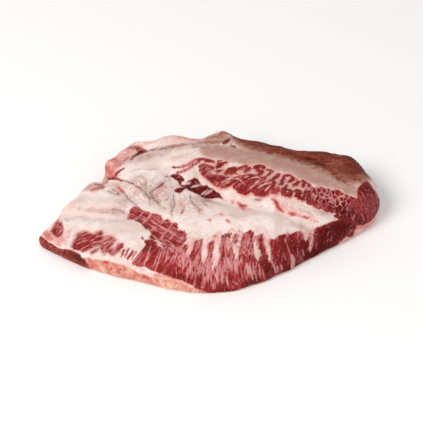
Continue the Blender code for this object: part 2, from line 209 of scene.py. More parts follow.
# A stroke is x, y and half width at each of its points. Below zero it is a mark too fine to cover its pixels.
grainBundles = (  # bundles of lean over the upper edge of the coarse grain
    ((197.5, 160.8, 1.1), (201.5, 159.6, 1.2), (206.6, 160.4, 1.4), (213.6, 161.8, 0.7)),
    ((200.6, 167, 2), (204, 166.8, 2.8), (209, 168, 2.7), (212, 168.2, 1.6)),
    ((201, 170, 1.8), (204, 172.6, 1.6)), ((215.8, 167.6, 1.1), (219, 166.6, 1.3), (222.4, 164.4, 0.9)),
    ((217.8, 164.2, 0.7), (221, 163.6, 0.9), (226.4, 162.4, 0.6)),
    ((218.4, 161.4, 0.7), (221.4, 161.2, 0.6)), ((215.6, 171.2, 1.2), (219, 171.4, 1.4), (223.6, 171, 0.8)),
    ((225.2, 173.8, 1.4), (229.4, 171.4, 2.9), (234.4, 170.2, 3.2), (236.4, 172.6, 2.4)),
    ((236.6, 169.8, 1.4), (241, 168.2, 1.5), (246.4, 166, 0.9)),
    ((245, 172.4, 1.3), (247.4, 169.6, 1.9), (249.6, 168.2, 1.2)),
    ((255.4, 167.4, 1.9), (259, 167.2, 2.3), (263, 167.4, 2)), ((257.4, 170.2, 1.6), (260.6, 171.6, 1.8)),
    ((258, 175.4, 1.4), (260.4, 174, 1.9), (262.4, 172.4, 1.3)),
    ((267.6, 170, 0.9), (270.6, 170.8, 1.2), (272.2, 171.4, 0.8)),
    ((270.4, 172.8, 0.7), (267.4, 175.6, 0.7), (264.6, 177.6, 1), (262, 178.8, 1.4)),
    ((272.6, 180, 1), (275, 177, 1.9), (278.4, 174.8, 1.3)), ((282.6, 178.8, 1.4), (284.2, 176.2, 1.3)),
    ((280.4, 184.6, 1.4), (281.6, 181.6, 1.9), (284, 179.8, 1)),
    ((286.4, 175.6, 1.1), (289.2, 175.4, 0.9), (291.4, 177.2, 1.2), (293.4, 179.4, 1.6), (290.4, 181, 1.4),
     (287.6, 182, 1)),
    ((293.6, 185.4, 1.2), (296.4, 184.4, 1.5), (298.6, 182.4, 1.3)),
    ((296.4, 179.6, 0.6), (297.2, 181.4, 0.5)),
    ((302.8, 181.4, 1.4), (304.6, 182.8, 1.2), (303.4, 185.2, 1.8)),
    ((307.6, 184.4, 1.4), (308.8, 186.2, 1.6)),
    ((296.4, 191.4, 2.2), (298.6, 192.4, 2.7), (297.4, 195.2, 2.7)),
    ((299.6, 197.4, 2.2), (302.6, 198.4, 2)), ((303.6, 194.6, 1), (303.8, 197, 1.2)),
    ((305.8, 189.4, 0.8), (305, 192.8, 1.2), (304.8, 195, 0.8)),
    ((309.2, 191.6, 1.5), (308, 196, 2.2), (308.4, 199.8, 2.2)), ((285.6, 187.6, 0.9), (286.6, 185.2, 0.5)),
)
grainFlecks = (  # fat between those bundles
    ((204, 164, 0.2), (208, 164.4, 0.3), (212.6, 165.2, 0.5), (214.4, 167.4, 0.7), (214.6, 169.8, 0.9),
     (212.6, 171.4, 1.2), (209.6, 172.2, 0.7), (206.8, 171, 0.3)),
    ((214.6, 173.6, 0.5), (219, 173.8, 0.6), (222.6, 173.2, 1), (224.4, 170.6, 0.8)),
    ((221.4, 183.6, 0.4), (224, 181.4, 0.6), (226.6, 179.4, 0.8), (231, 178.6, 0.7), (236, 179, 0.7),
     (239.8, 179.8, 0.8), (242.4, 182.6, 0.7), (244.8, 185.4, 0.5)),
    ((226.6, 183.2, 0.4), (229, 181, 0.4)),
    ((223.6, 175.8, 0.5), (227, 176.6, 0.6), (232, 176.6, 0.6), (235.4, 175.4, 0.4)),
    ((237.6, 173.2, 1), (240.6, 172.4, 1.9), (243.2, 170.2, 1), (245, 168.4, 0.6)),
    ((243, 174.4, 0.6), (247, 173.6, 0.5), (251, 171.8, 0.9), (253.6, 171.6, 1.5), (256, 172.8, 0.6)),
    ((244.8, 178.2, 0.4), (247, 176.7, 0.9), (248.8, 176, 0.4)),
    ((248.4, 179.8, 0.5), (252, 177.9, 0.9), (256.4, 176.9, 0.9), (260.2, 178.4, 0.6)),
    ((249.4, 189.4, 0.5), (253, 185.8, 0.9), (256.4, 182.6, 1), (258.6, 181, 0.5)),
    ((258.6, 187.8, 1), (261.2, 185.8, 1.4), (264.6, 184.2, 0.8), (269.6, 183.2, 0.7), (271.8, 182.6, 0.4)),
    ((264.6, 181.8, 0.6), (267.4, 179.8, 1.2), (270, 177.2, 1.7), (273.6, 174.2, 1.7), (277, 172.4, 1)),
    ((265.2, 191.2, 0.8), (267, 188.6, 1.2), (269, 186.6, 1), (270.6, 185.6, 0.4)),
    ((270.2, 196, 0.8), (269.9, 192, 0.4)),
    ((275.2, 188, 0.5), (277, 184.8, 1), (279, 181.2, 1.1), (281, 177, 1.5), (281.6, 173.4, 1.2)),
    ((279.2, 196, 1.3), (279.8, 191.6, 0.6), (280.4, 188, 0.6)),
    ((282.8, 187, 0.7), (285, 184, 1.5), (286.8, 181, 0.9)), ((287.2, 192.2, 0.5), (288, 192.6, 0.4)),
    ((301.2, 197, 0.8), (302.4, 194.8, 0.5)),
    ((344.8, 204.8, 0.8), (347.4, 202.6, 1.4), (349.6, 200.6, 0.7)),
    ((339.4, 203.4, 0.6), (340.8, 207, 0.5), (341.4, 210.4, 0.7), (342.8, 213.8, 0.8), (344, 216.6, 0.4)),
)
leanStrokes = (
    ((172.5, 167.2, 0.6), (180, 167.4, 1), (186, 165.6, 1.2), (191, 162.8, 1.2), (195, 159.8, 1.1),
     (199, 158.8, 1)),
    ((177.4, 172.4, 0.6), (182, 171.6, 1.1), (187, 169.2, 1), (191, 167, 1), (194, 163.6, 1.2),
     (199, 161.6, 1.4)),
    ((124.2, 250.4, 0.6), (122.8, 253.5, 1.1), (121.4, 257, 0.7)),
    ((128.4, 249, 0.5), (126.6, 253.4, 0.9), (124.4, 257, 0.4)),
    ((133, 251.4, 0.6), (130.4, 255.4, 1.1), (127.6, 258.8, 0.7)),
    ((136.4, 252.4, 0.5), (133.4, 256.6, 0.9), (131.2, 259.4, 0.5)),
    ((141.6, 236.4, 0.1), (143.2, 238.8, 0.6)), ((91.6, 252.8, 0.5), (95, 250.8, 0.9), (98.8, 248.2, 0.4)),
)
fatFingers = (  # fat that reaches in between the teeth of the lean
    ((146.8, 230.4, 1.4), (149.6, 234.6, 0.6)), ((158, 243.4, 0.5), (160, 245, 1.1), (162.2, 247.4, 0.5)),
    ((190.6, 236.4, 4), (190.8, 243, 2.8), (190.2, 249, 2.2), (188, 254, 1.4), (187, 257, 0.4)),
    ((199.4, 241.4, 0.3), (197.4, 246.4, 0.5)),
    ((206.6, 236, 1.6), (205.4, 243, 1.9), (204.8, 248, 2.4), (204.6, 253.4, 3.1), (203.6, 258, 1.9),
     (204.2, 262.6, 0.7)),
    ((212.6, 237, 2.6), (210, 240.4, 1)),
    ((220, 231.4, 2), (217.6, 241, 2.3), (216.4, 250, 2.6), (216.4, 257, 3.9), (214.6, 263, 2.4),
     (212.8, 267.6, 1)),
    ((233.6, 230, 2), (232, 235.5, 1.1), (231, 240, 0.5)),
    ((228.6, 238, 0.4), (227.6, 243, 0.9), (228.6, 249, 0.4)),
    ((242, 230.6, 1.6), (240.2, 236, 1.2), (239.4, 241, 0.9), (237.6, 246, 1.5), (236.4, 252, 1.9),
     (235.8, 257.6, 0.8)),
    ((233.6, 243, 0.4), (234.8, 250, 0.9), (235.6, 255, 0.4)),
    ((256.6, 230.6, 2.4), (254.8, 237, 1), (255, 243, 1), (256.2, 249, 2), (257.4, 253.4, 3.3),
     (257.8, 259.6, 0.7)),
    ((268.2, 232, 3.2), (266.8, 238, 2), (266.9, 245, 1.5), (268.6, 252, 1.6), (269.6, 257, 1.2),
     (269.8, 261, 0.5)),
    ((276.4, 232.6, 1.6), (274.6, 237.6, 0.4)), ((288.4, 230.6, 1.2), (287.4, 233.6, 0.4)),
    ((306.4, 230.6, 3.6), (306.2, 235, 2), (305.4, 238.2, 0.9), (305, 240, 0.3)),
    ((313.6, 227, 0.4), (312.6, 233, 0.5), (311.6, 240, 1), (310.2, 246, 0.9), (309.6, 250, 0.3)),
    ((104.6, 257.2, 1.4), (104.4, 252.6, 0.5)), ((112.6, 246.6, 0.6), (116.8, 242.4, 1.2)),
    ((99, 246.6, 0.5), (94, 248.6, 0.6)), ((191.6, 186.6, 0.1), (195.6, 185.6, 0.5), (200.4, 184.8, 0.2)),
    ((182, 184, 0.2), (185.8, 183.2, 0.5), (190, 182.4, 0.2)),
    ((201.6, 194, 0.2), (205.2, 191.6, 0.45), (207.8, 190.2, 0.2)),
    ((205.4, 194.2, 0.2), (208.6, 191.6, 0.45), (211.2, 190.2, 0.2)),
)
fatThreads = (  # thin fat in the lean: from x, y to x, y and half width
    (134, 219.6, 138.4, 217, 0.5), (138.4, 217, 144.8, 210.2, 0.45), (142.4, 223.4, 147, 219.2, 0.5),
    (147, 219.2, 152.4, 211.8, 0.85), (161, 223.2, 164.6, 217.6, 0.6), (168.8, 227, 173.8, 221.6, 0.5),
    (149, 232, 157.4, 224.6, 0.5), (160.4, 239, 163.4, 234.4, 1), (163.4, 234.4, 167.6, 228.4, 0.5),
    (168.2, 240.4, 176, 231, 0.5), (180.4, 249.4, 184.6, 243.6, 0.8), (184.6, 243.6, 188.8, 237.6, 0.7),
    (178.6, 242, 183.6, 234.6, 0.4), (131.6, 207.8, 144, 212.4, 0.4), (130.6, 213.2, 138.6, 217.2, 0.45),
    (138.6, 217.2, 147.4, 220.6, 0.5), (141, 215.4, 147.4, 218.6, 0.4), (150.6, 219.2, 158.6, 225.2, 0.7),
    (158.6, 225.2, 168.4, 231, 1), (168.4, 231, 176, 235, 0.8), (153, 216.6, 160.4, 221.4, 0.4),
    (162.4, 221.2, 169.4, 222.8, 0.4), (149.8, 224.6, 155.4, 228.8, 0.4), (171, 225.8, 177.4, 229.4, 0.4),
    (176.4, 236, 184.4, 238.4, 0.4), (165, 238.4, 175, 245.6, 0.5), (152.6, 234.6, 159, 240.6, 0.7),
    (170.6, 244.4, 187.6, 256, 0.5), (167, 246.4, 178, 255.6, 0.5), (165.6, 253.4, 173.8, 265, 0.5),
    (160.8, 246.6, 155.4, 261, 0.4), (155.4, 261, 154, 266, 0.4), (162.6, 248.4, 158.6, 260, 0.6),
    (158.6, 260, 155.2, 271, 0.7), (166, 246.6, 162, 258.6, 0.5), (168.2, 250, 165.4, 262, 0.7),
    (173, 258, 180.6, 268, 0.6), (178.6, 256, 181, 268, 0.6), (183.6, 257, 183, 270, 0.8),
    (190.2, 259, 190.4, 275, 0.7), (187.8, 268, 186.6, 281, 0.5), (175.6, 268, 177, 276, 0.4),
    (193, 268, 191.6, 281, 0.5), (204.6, 262, 208, 274, 0.7), (212.6, 268, 216.6, 279, 0.9),
    (216.6, 272, 218.4, 284, 0.7), (209.4, 275, 213.6, 284.6, 0.6), (223, 256, 226, 268, 0.5),
    (226.8, 257, 230.6, 268.6, 1), (229, 258.4, 232.8, 268, 0.5), (222, 268, 222.4, 284, 0.8),
    (225.6, 276, 228.4, 286, 0.9), (233.4, 259, 236.4, 272, 0.6), (231.4, 281, 238.8, 285, 0.8),
    (235.6, 262, 238.6, 276, 0.5), (241.8, 257, 241, 263, 1.2), (245, 238, 244, 252, 0.5),
    (248, 236.6, 248.4, 246.6, 0.5), (242, 250.6, 248.4, 259, 0.5), (246, 247, 252.6, 257, 0.5),
    (250.6, 244, 253, 256, 0.5), (246, 262, 249, 274, 1.6), (249.6, 266, 253, 280, 1),
    (252.8, 261.6, 254, 275, 0.5), (255, 272, 257, 281, 0.6), (258.4, 261.6, 261, 278, 0.6),
    (262, 267, 264.4, 279, 0.4), (264.8, 262, 264, 266, 0.4), (271.2, 259, 273.6, 268, 0.5),
    (273.6, 262, 275.6, 274, 0.7), (277, 266, 277.6, 273, 0.6), (281, 264.6, 282.4, 270, 0.7),
    (279.4, 250, 276.4, 262, 0.35), (286.4, 243, 290, 254, 0.45), (283.6, 252, 285.6, 262, 0.35),
    (298, 238, 299, 247, 0.3), (302.6, 249, 304, 256, 0.5), (297.6, 250, 298.6, 257, 0.3),
    (291.8, 255, 293.6, 262.6, 2.2), (293.4, 260.6, 292, 268.6, 2), (325, 231.6, 330, 224.6, 0.3),
    (317, 229, 315.6, 238, 0.35), (320.6, 231, 322, 227.4, 0.4), (326, 242, 331, 236, 0.3),
    (344, 228.4, 352, 225, 0.35), (347, 237, 351.6, 229.6, 0.3), (240.4, 268, 243.6, 282, 0.4),
    (274.8, 238.6, 272.6, 250, 0.3), (292.8, 236, 291, 246, 0.3), (219.6, 240, 222.6, 250, 0.3),
    (370.8, 182.8, 368.4, 188, 0.5), (368.4, 188, 367.6, 195, 0.4), (353.2, 214, 355.4, 208.8, 0.5),
    (352.4, 222, 354.6, 214.4, 0.4), (365, 208.2, 367, 209, 0.5), (361.4, 213.6, 364.2, 221, 0.35),
    (357.6, 200, 356.6, 206, 0.4), (345.6, 212.6, 346.8, 217, 0.4), (375.4, 191, 377.4, 205, 0.25),
    (361, 196, 363, 191, 0.3), (371.4, 215, 375.6, 207, 0.25), (80, 236, 88, 233, 0.4),
    (76, 243.6, 88, 239.6, 0.35), (80.6, 248.8, 90, 243.8, 0.4), (91, 243, 101.6, 240, 0.5),
    (95.6, 236.6, 99, 235.6, 0.5), (103, 243.6, 113, 239.4, 0.6), (103, 247.6, 110.6, 242.4, 0.5),
    (108, 250.6, 112.4, 246, 0.6), (101.6, 238.4, 109.6, 237.2, 0.5), (55.6, 232, 59.4, 226, 0.25),
    (57.4, 234, 62, 229, 0.3), (143.6, 267, 147, 256, 0.7), (147, 256, 151, 246, 0.6),
    (288.4, 231.4, 283.4, 243.6, 0.6), (146.8, 262, 149.8, 250, 0.4), (176.6, 177.6, 180.6, 176.2, 0.25),
    (195, 181, 197.6, 184, 0.3),
)
tanOutline = (  # the tan membrane, darkened with painted shade where the band slopes away from the light
    (201, 147), (206, 145), (216, 145), (226, 145.6), (236, 147), (246, 149.6), (258, 151), (270, 154.6),
    (282, 157), (294, 160.4), (306, 165), (318, 169), (327, 173), (336, 178.6), (345, 182.4), (352, 186),
    (357.6, 189), (357.6, 197), (350, 193.6), (343, 189.6), (331, 188.4), (318, 184.6), (309, 181.6),
    (301, 178.6), (291, 173), (281, 171), (272, 168.6), (262, 163), (248, 163.6), (236, 163), (224, 159.4),
    (212, 157), (203, 155.6), (199.6, 152),
)
dryOutline = (  # the dry brown rind of the back edge
    (228, 127), (233, 137), (239, 143), (245, 146), (255, 149.6), (265, 152.4), (275, 155), (285, 157),
    (292, 159.6), (300, 162), (310, 165.4), (318, 168.4), (326, 171.6), (333, 176.4), (338, 180),
    (346, 182), (356, 182.6), (364, 180), (369, 177), (374, 173), (384, 170), (376, 160), (356, 143),
    (316, 140), (293, 136), (250, 127),
)
wallOutline = (  # the dark cut wall under the tip
    (36, 234), (42, 236.4), (46, 240), (49.4, 242.4), (53, 244.4), (56, 246.4), (59, 248), (63, 249),
    (69, 249.2), (74, 251), (79, 253.4), (81, 255), (82, 258), (85.6, 259), (86, 262.4), (88.6, 264),
    (88, 275), (60, 266), (36, 252),
)
capOutline = (  # the salmon fat cap
    (85, 262), (84, 257), (88, 259), (95, 259.4), (103, 260.6), (112, 262), (120, 263.8), (128, 267.4),
    (137, 271.4), (149.7, 276.4), (166.5, 279.8), (182.3, 283), (188.7, 285.4), (195, 288), (202, 290.4),
    (209, 293), (206, 300), (185, 300), (150, 295), (110, 283), (86, 274),
)
rimOutline = (  # the rolled rim at the upper left
    (101, 182), (98, 172), (110, 154), (126, 142), (156, 130), (170, 127), (184, 129), (206, 133),
    (212, 134), (210, 139.5), (204, 142), (192, 143.6), (180, 144.6), (160, 147.6), (149, 149.4),
    (140, 153), (131, 157.5), (122, 166), (116.6, 171), (112, 178.4),
)
nubStroke = (  # the red nub on the back edge
    (219, 134.6, 1), (222.6, 132.4, 2.2), (228, 132.2, 2.4), (232, 134.4, 1),
)
darkStrokes = (  # dark meat in the folds of the rim
    ((107, 178.8, 0.5), (112, 178.2, 1.1), (117, 178.8, 0.9), (121.6, 180.6, 0.5)),
    ((114.6, 176.6, 0.9), (116.6, 173, 1), (119.6, 170.4, 0.9), (123.6, 168.2, 0.4)),
    ((131, 158.8, 0.6), (135, 155.4, 0.9), (139, 153, 1.1), (142.6, 151.4, 1.5), (145.8, 150.8, 1)),
    ((136.4, 148, 0.1), (138.6, 148, 0.4), (141, 149, 0.2)),
    ((224.2, 142.4, 1.3), (226.6, 141, 1.7), (229.4, 139.2, 1)), ((231, 144.8, 0.4), (235.6, 146.6, 0.6)),
)
tanStrokes = (  # thin brown meat over the fat
    ((146, 151.6, 0.7), (152, 150, 0.9), (160, 149.2, 1.2), (168, 147.2, 1.5), (176, 146, 1.4),
     (186, 144.6, 0.9), (196, 143.4, 0.8), (206, 142, 1.6), (214, 142.4, 1.4), (221, 141.4, 1.2)),
    ((95, 183.6, 1), (101, 183, 1.4), (107, 181.2, 1.4)),
    ((103, 186.6, 1.6), (98, 188, 1.2), (91, 190.2, 0.6)), ((113, 189.6, 0.8), (118, 192.6, 0.6)),
    ((127, 148.4, 0.8), (133, 147.4, 1.7), (137.6, 149, 2.2), (143, 150, 1.6)),
    ((206, 138.4, 0.4), (214, 137.2, 1), (222, 137, 0.8)),
    ((120, 164.4, 0.2), (124, 160.8, 0.5), (131, 155.4, 0.5)),
    ((103, 172, 0.4), (107, 176.4, 0.8), (112, 178.6, 0.6)),
)
redStrokes = (
    ((106.6, 264.4, 0.3), (106.4, 267.6, 0.5), (108.4, 270.4, 0.4), (111.4, 270.2, 0.2)),
    ((88.4, 258.6, 0.6), (89.6, 260.8, 0.8), (91.6, 261.6, 0.3)),
    ((117, 267.4, 0.2), (118.4, 270, 0.6), (119.4, 273, 0.4)),
    ((142.6, 275.4, 0.4), (146, 277.4, 0.7), (148.6, 279.4, 0.3)), ((154.6, 278.4, 0.2), (157, 280.4, 0.5)),
    ((117.4, 187.2, 0.1), (119.6, 188.4, 0.6), (122.4, 191.2, 0.8), (124.4, 193.6, 0)),
    ((238.6, 203.4, 0.4), (241.4, 206, 1.5), (245.4, 206, 0.6)), ((242.4, 206.4, 1.1), (243.4, 208.6, 0.6)),
    ((273.4, 199.6, 0.8), (276.6, 202.4, 1.7), (277.6, 207, 1.3), (283.2, 211.6, 0.5)),
    ((289.4, 213, 0.6), (294, 214.4, 0.8)), ((303, 216.6, 0.9), (307, 217.6, 0.8)),
    ((208.8, 219.8, 0), (210.4, 220.2, 0.3)), ((226.8, 220, 0.3), (228.8, 221.2, 0.5)),
    ((220.8, 214.8, -0.3), (222, 214.4, -0.3)), ((181.4, 213, -0.3), (182.4, 210.2, -0.6)),
    ((199.2, 211, -0.5), (199.8, 209.8, -0.5)), ((163.4, 187.2, -0.5), (165.2, 185.2, -0.4)),
    ((184, 135.8, 0.8), (186.6, 137.2, 0.9)), ((104, 262.2, 0.9), (107.4, 262.4, 0.8)),
    ((110, 267.6, 0.4), (111, 268.4, 0.4)), ((232, 201.4, 0), (232.6, 202, -0.1)),
)
pinkStrokes = (
    ((284, 209.6, 0.8), (297, 215.4, 1.6), (308, 219, 1.4), (321, 222.6, 0.6)),
    ((290, 207.4, 0.5), (302, 211.4, 0.9), (314, 217.6, 0.5)),
    ((262, 205.6, 0.8), (254, 209.2, 0.6), (246, 208.6, 0.6)),
    ((215, 187.6, 0.6), (224, 196, 0.9), (232, 202, 0.8)),
    ((271, 197.6, 1.2), (280, 203, 1.4), (287, 209, 0.8)),
    ((120, 174.6, 1.2), (116, 177, 1.6), (122, 180, 0.8)),
    ((190, 161, 0.6), (196, 157.6, 0.8), (206, 156.8, 0.5)),
)
creases = (  # of the fat: the points of each, and how deep it is from 0 to 1
    (((120, 180.4), (127, 181.6), (133, 183.6), (139, 187.4), (143, 190), (146, 194), (149.6, 197.6),
     (149.8, 202)), 1),
    (((167.4, 181), (161.6, 183.2), (157, 187.4), (152.6, 190.8), (150.2, 192.2)), 1),
    (((163.4, 174.4), (168.6, 177.6), (170.6, 181)), 0.5),
    (((124.6, 193.8), (128.6, 197.4), (132, 201), (138, 206)), 0.7),
    (((151.4, 192), (152.2, 196.4), (155.4, 199.6), (158.6, 203.4), (162, 206.4), (166.4, 208.8)), 0.7),
    (((146.8, 181), (145.8, 185.4), (147, 190.6)), 0.4),
    (((173.6, 193.2), (173.2, 199), (174.4, 204.6), (171.6, 210.4), (172.2, 217)), 0.6),
    (((169.4, 194.2), (168.4, 198.4), (164.4, 200.2)), 0.5), (((183.8, 192.6), (184.2, 197)), 0.4),
    (((190, 193.6), (190.6, 199.6), (192.6, 203), (197, 205.6), (199, 210.6)), 0.5),
    (((183.8, 208), (181.2, 214)), 0.5), (((200, 198.8), (204, 203), (209.6, 206.6)), 0.4),
    (((170.4, 185), (173.6, 188.4)), 0.4), (((160.4, 197), (160, 203), (163, 209)), 0.25),
    (((253.6, 198.8), (259, 199.8), (262.4, 199)), 0.7),
    (((111, 209.4), (118, 210), (124, 212.6), (128.4, 215.4)), 0.35),
    (((119, 206.4), (128.6, 207.6)), 0.22), (((117, 202.6), (126.6, 205.4)), 0.2),
    (((100, 213), (108, 212.4), (112, 214.4)), 0.1), (((106, 190.6), (114, 192.6), (121, 195.6)), 0.5),
    (((66, 219.4), (68.8, 221.8)), 0.3), (((77, 216.4), (84.6, 216.8)), 0.12),
    (((170, 158.6), (182, 156), (194, 152)), 0.12),
    (((130, 172), (140, 168.6), (150, 170), (160, 168.6)), 0.15),
    (((134, 177), (142, 176), (147, 180)), 0.2),
    (((188, 257.6), (194, 259), (199, 261.4), (203, 266), (208.6, 270)), 0.9),
    (((296, 206.6), (306, 211.4), (314, 215.4)), 0.35), (((300, 204), (310, 208.6)), 0.25),
)
# A soft spot is x, y, half length, half height, turn in degrees and strength.
# tan fat, and painted shade in the hollows, under the rim and on slopes turned from the light
tanAndShadeSpots = (
    (171, 206, 1.4, 8, 0, 0.5), (179.4, 204, 1.2, 9, 0, 0.25), (192, 200, 1.4, 7, -30, 0.3),
    (167, 190, 4, 6, 30, 0.4), (216, 139, 14, 6, -6, 1.15), (148, 141, 10, 4, -14, 0.2),
    (320, 212, 18, 5, 26, 0.55), (294, 223, 14, 7, 8, 0.34), (190, 247, 8, 10, 0, 0.35),
    (306, 234, 5, 6, 0, 0.45), (345, 240, 9, 4, -34, 0.75), (248, 268, 5, 7, 0, 0.4),
    (150, 156, 34, 5, -14, 0.55), (104, 211.6, 28, 4, 4, 0.6), (122, 232, 10, 4, 24, 0.3),
    (150, 192, 17, 9, 30, 0.35), (114, 184, 13, 4, 12, 0.36), (132, 227, 12, 3, 30, 0.35),
    (190, 147, 36, 3, -8, 0.6), (212, 141, 12, 4, 0, 0.75), (206, 199, 10, 3, 25, 0.45),
    (300, 226, 16, 4, 22, 0.55), (188, 240, 5, 5, 0, 0.25), (350, 184, 12, 4, 20, 0.5),
    (228, 140, 10, 6, 10, 0.8), (340, 243, 8, 3, -28, 0.9), (122, 216, 8, 5, 20, 0.55),
    (163, 186, 7, 5, 20, 0.45), (232, 176, 50, 12, 14, 0.12), (200, 185, 14, 3, 40, 0.3),
    (258, 201, 6, 3, 0, 0.3), (75, 236, 3, 6, 30, 0.45), (349, 189, 14, 6, 24, 0.95),
    (318, 213, 26, 5, 22, 0.3), (92, 187, 20, 5, -8, 0.7), (104, 184, 9, 4, 0, 0.6),
    (190, 138, 20, 4, 0, 0.6), (160, 141, 24, 5, -8, 0.14),
)
# painted light: fat made whiter where the light falls on it, and where the form's own shade is lifted
whiteAndLitSpots = (
    (217, 208, 7, 6, 0, 0.75), (175.6, 206, 2, 9, 0, 0.6), (187.6, 205, 2.4, 9, -4, 0.6),
    (195, 212, 3, 6, 10, 0.35), (258, 212, 34, 5, 14, 0.45), (296, 205, 12, 4, 22, 0.2),
    (90, 222, 30, 7, 0, 0.9), (104, 198, 26, 6, 4, 0.55), (113, 190, 5, 3, 10, 0.35),
    (200, 228, 26, 8, 10, 0.8), (250, 226, 30, 7, 0, 0.55), (130, 170, 14, 5, -10, 0.5),
    (160, 165, 20, 5, -4, 0.3), (185, 153, 12, 5, 0, 0.2), (220, 204, 12, 5, 14, 0.5),
    (132, 234, 12, 7, 20, 0.6), (66, 243, 9, 5, 12, 0.3), (180, 215, 14, 12, 0, 0.25),
    (240, 199, 16, 5, 10, 0.45),
)
pinkSpots = (
    (96, 188.8, 8, 3, -12, 0.75), (176, 279.5, 30, 3.2, 13, 1.05), (306, 233, 6, 8, 0, 0.35),
    (311, 241, 3, 9, 8, 0.9), (344, 240, 6, 4, -30, 0.3), (72, 206, 12, 4, -36, 0.4),
    (62, 214, 8, 6, -50, 0.4), (48, 236, 8, 5, 30, 1.2), (60, 240, 13, 8, 30, 0.62),
    (68, 234, 5, 10, 10, 0.55), (76, 224, 8, 4, 0, 0.2), (113, 165, 12, 6, -48, 0.75),
    (112, 174, 6, 6, -60, 1.1), (130, 151, 9, 4, -30, 0.95), (150, 142, 14, 4, -22, 0.68),
    (192, 138, 14, 4, 10, 0.8), (297, 212, 26, 5, 22, 0.35), (226, 216, 16, 4, 0, 0.25),
    (181.6, 206, 2, 9, 0, 0.4), (221, 215, 9, 3, 8, 0.38), (229, 220.6, 4, 2.4, 0, 0.4),
    (163, 190, 6, 6, 30, 0.25), (352, 234, 10, 6, -20, 0.8), (362, 227, 14, 4, -14, 1.1),
    (352, 181, 12, 4, 20, 0.55), (376, 184, 4, 8, -30, 0.75), (383, 200, 3.5, 16, 0, 1),
    (376, 222, 8, 6, -40, 1), (100, 256, 26, 3, 12, 0.35), (140, 270, 20, 3, 18, 0.6),
    (205, 240, 34, 5, 0, 0.2), (345, 243, 12, 5, -32, 0.6), (191, 252, 5, 5, 0, 0.4),
    (109, 171, 6, 10, -40, 1.4), (122, 157, 14, 5, -40, 0.9), (136, 148, 10, 4, -10, 0.9),
    (128, 262, 14, 3, 16, 0.35), (279, 206, 10, 5, 20, 0.55), (243, 206, 7, 4, 0, 0.45),
)
deepAndShadeSpots = (  # where lean, rind and wall are deep red and the fat cap redder, with painted shade on the bottom edge and right shoulder
    (334, 232, 26, 11, -22, 1), (318, 250, 26, 7, -24, 1.1), (232, 290.5, 30, 1.6, 0, 0.7),
    (289, 268, 22, 4, -22, 0.75), (200, 189, 24, 8, 26, 0.9), (306, 246, 12, 12, 0, 0.7),
    (338, 208, 18, 9, 18, 0.7), (290, 246, 18, 13, -10, 0.6), (180, 276, 26, 4, 20, 0.6),
    (150, 248, 9, 6, 20, 0.5), (140, 214, 12, 5, 20, 0.3), (147, 226, 6, 4, 40, 0.65),
    (139, 221, 6, 2, 20, 0.7), (300, 196, 34, 5, 20, 0.3), (268, 268, 10, 10, 0, 0.7),
    (283, 262, 10, 10, 0, 0.6), (344, 226, 12, 8, 0, 0.8), (76, 247, 5, 4, 30, 0.3),
    (54, 230, 3, 5, 40, 0.5), (164, 270, 12, 6, 20, 0.35), (346, 213, 14, 9, 20, 0.8),
    (366, 190, 9, 7, 40, 0.7), (378, 206, 3, 16, 0, 0.8), (360, 220, 12, 6, -10, 0.75),
    (252, 282, 12, 5, -20, 0.7), (244, 191, 8, 3, 0, 0.3), (352, 158, 15, 7, 34, 0.75),
    (312, 160.5, 22, 3, 20, 0.8), (360, 168, 8, 6, 44, 0.6), (257, 145.6, 15, 4, 14, 0.35),
    (262, 141.5, 34, 2.2, 14, 0.8), (290, 154, 12, 4, 14, 0.5), (330, 153.5, 24, 2, 0, 0.6),
    (337, 171, 8, 4, 20, 0.3), (78, 258, 14, 4, 28, 0.7), (232, 186, 30, 3, 24, 0.2),
    (276, 277, 20, 3, -24, 0.7), (110, 264.6, 7, 3.5, 14, 0.9), (60, 250, 7, 4, 28, 0.25),
    (322, 201, 14, 6, 20, 0.35), (212, 193, 8, 3, 30, 0.5),
)
palerSpots = (  # where the lean is pink with fat, the rind is tan and the fat cap is cream
    (212, 173, 14, 7, 24, 0.62), (94, 262, 6, 3, 14, 0.6), (111, 266.4, 3, 3, 0, 0.3),
    (130, 273, 9, 3.5, 16, 0.4), (172, 286, 16, 3, 10, 0.8), (206, 268, 18, 14, 10, 0.95),
    (184, 258, 12, 7, 30, 0.75), (230, 262, 14, 12, 0, 0.55), (252, 268, 10, 8, 0, 0.5),
    (216, 278, 14, 5, 6, 0.55), (108, 241, 11, 6, 10, 0.7), (98, 234, 5, 3, 0, 0.6),
    (158, 240, 9, 4, 25, 0.6), (176, 248, 9, 5, 30, 0.75), (182, 240, 6, 4, 20, 0.3),
    (186, 166, 16, 5, -25, 0.9), (228, 242, 8, 8, 0, 0.85), (246, 246, 9, 14, 0, 0.5),
    (164, 228, 12, 3, 28, 0.5), (155, 226, 26, 10, 28, 0.32), (60, 229, 5, 6, 20, 0.42),
    (88, 241, 12, 6, 10, 0.22), (114, 250, 6, 5, 0, 0.5), (362, 177, 12, 3.5, 4, 0.9),
    (344, 178, 13, 3.5, 20, 0.7), (246, 144, 16, 4, 16, 0.3), (333, 164, 13, 7, 20, 0.55),
    (322, 170, 10, 3, 22, 0.35), (224, 188, 8, 2, -4, 0.5), (136, 260, 6, 5, -50, 0.35),
    (195, 285, 10, 3, 10, 0.3), (240, 272, 8, 8, 0, 0.3), (222, 181, 24, 9, 16, 0.4),
    (255, 185, 22, 8, 10, 0.22), (204, 166, 8, 4, 0, 0.35),
)
# purple lean, and a painted sheen on the round end muscle
purpleAndSheenSpots = (
    (368, 204, 12, 13, 20, 0.95), (371, 216, 9, 6, -30, 0.7), (206, 190, 22, 8, 28, 0.35),
    (137, 257, 6, 8, 40, 0.35),
)
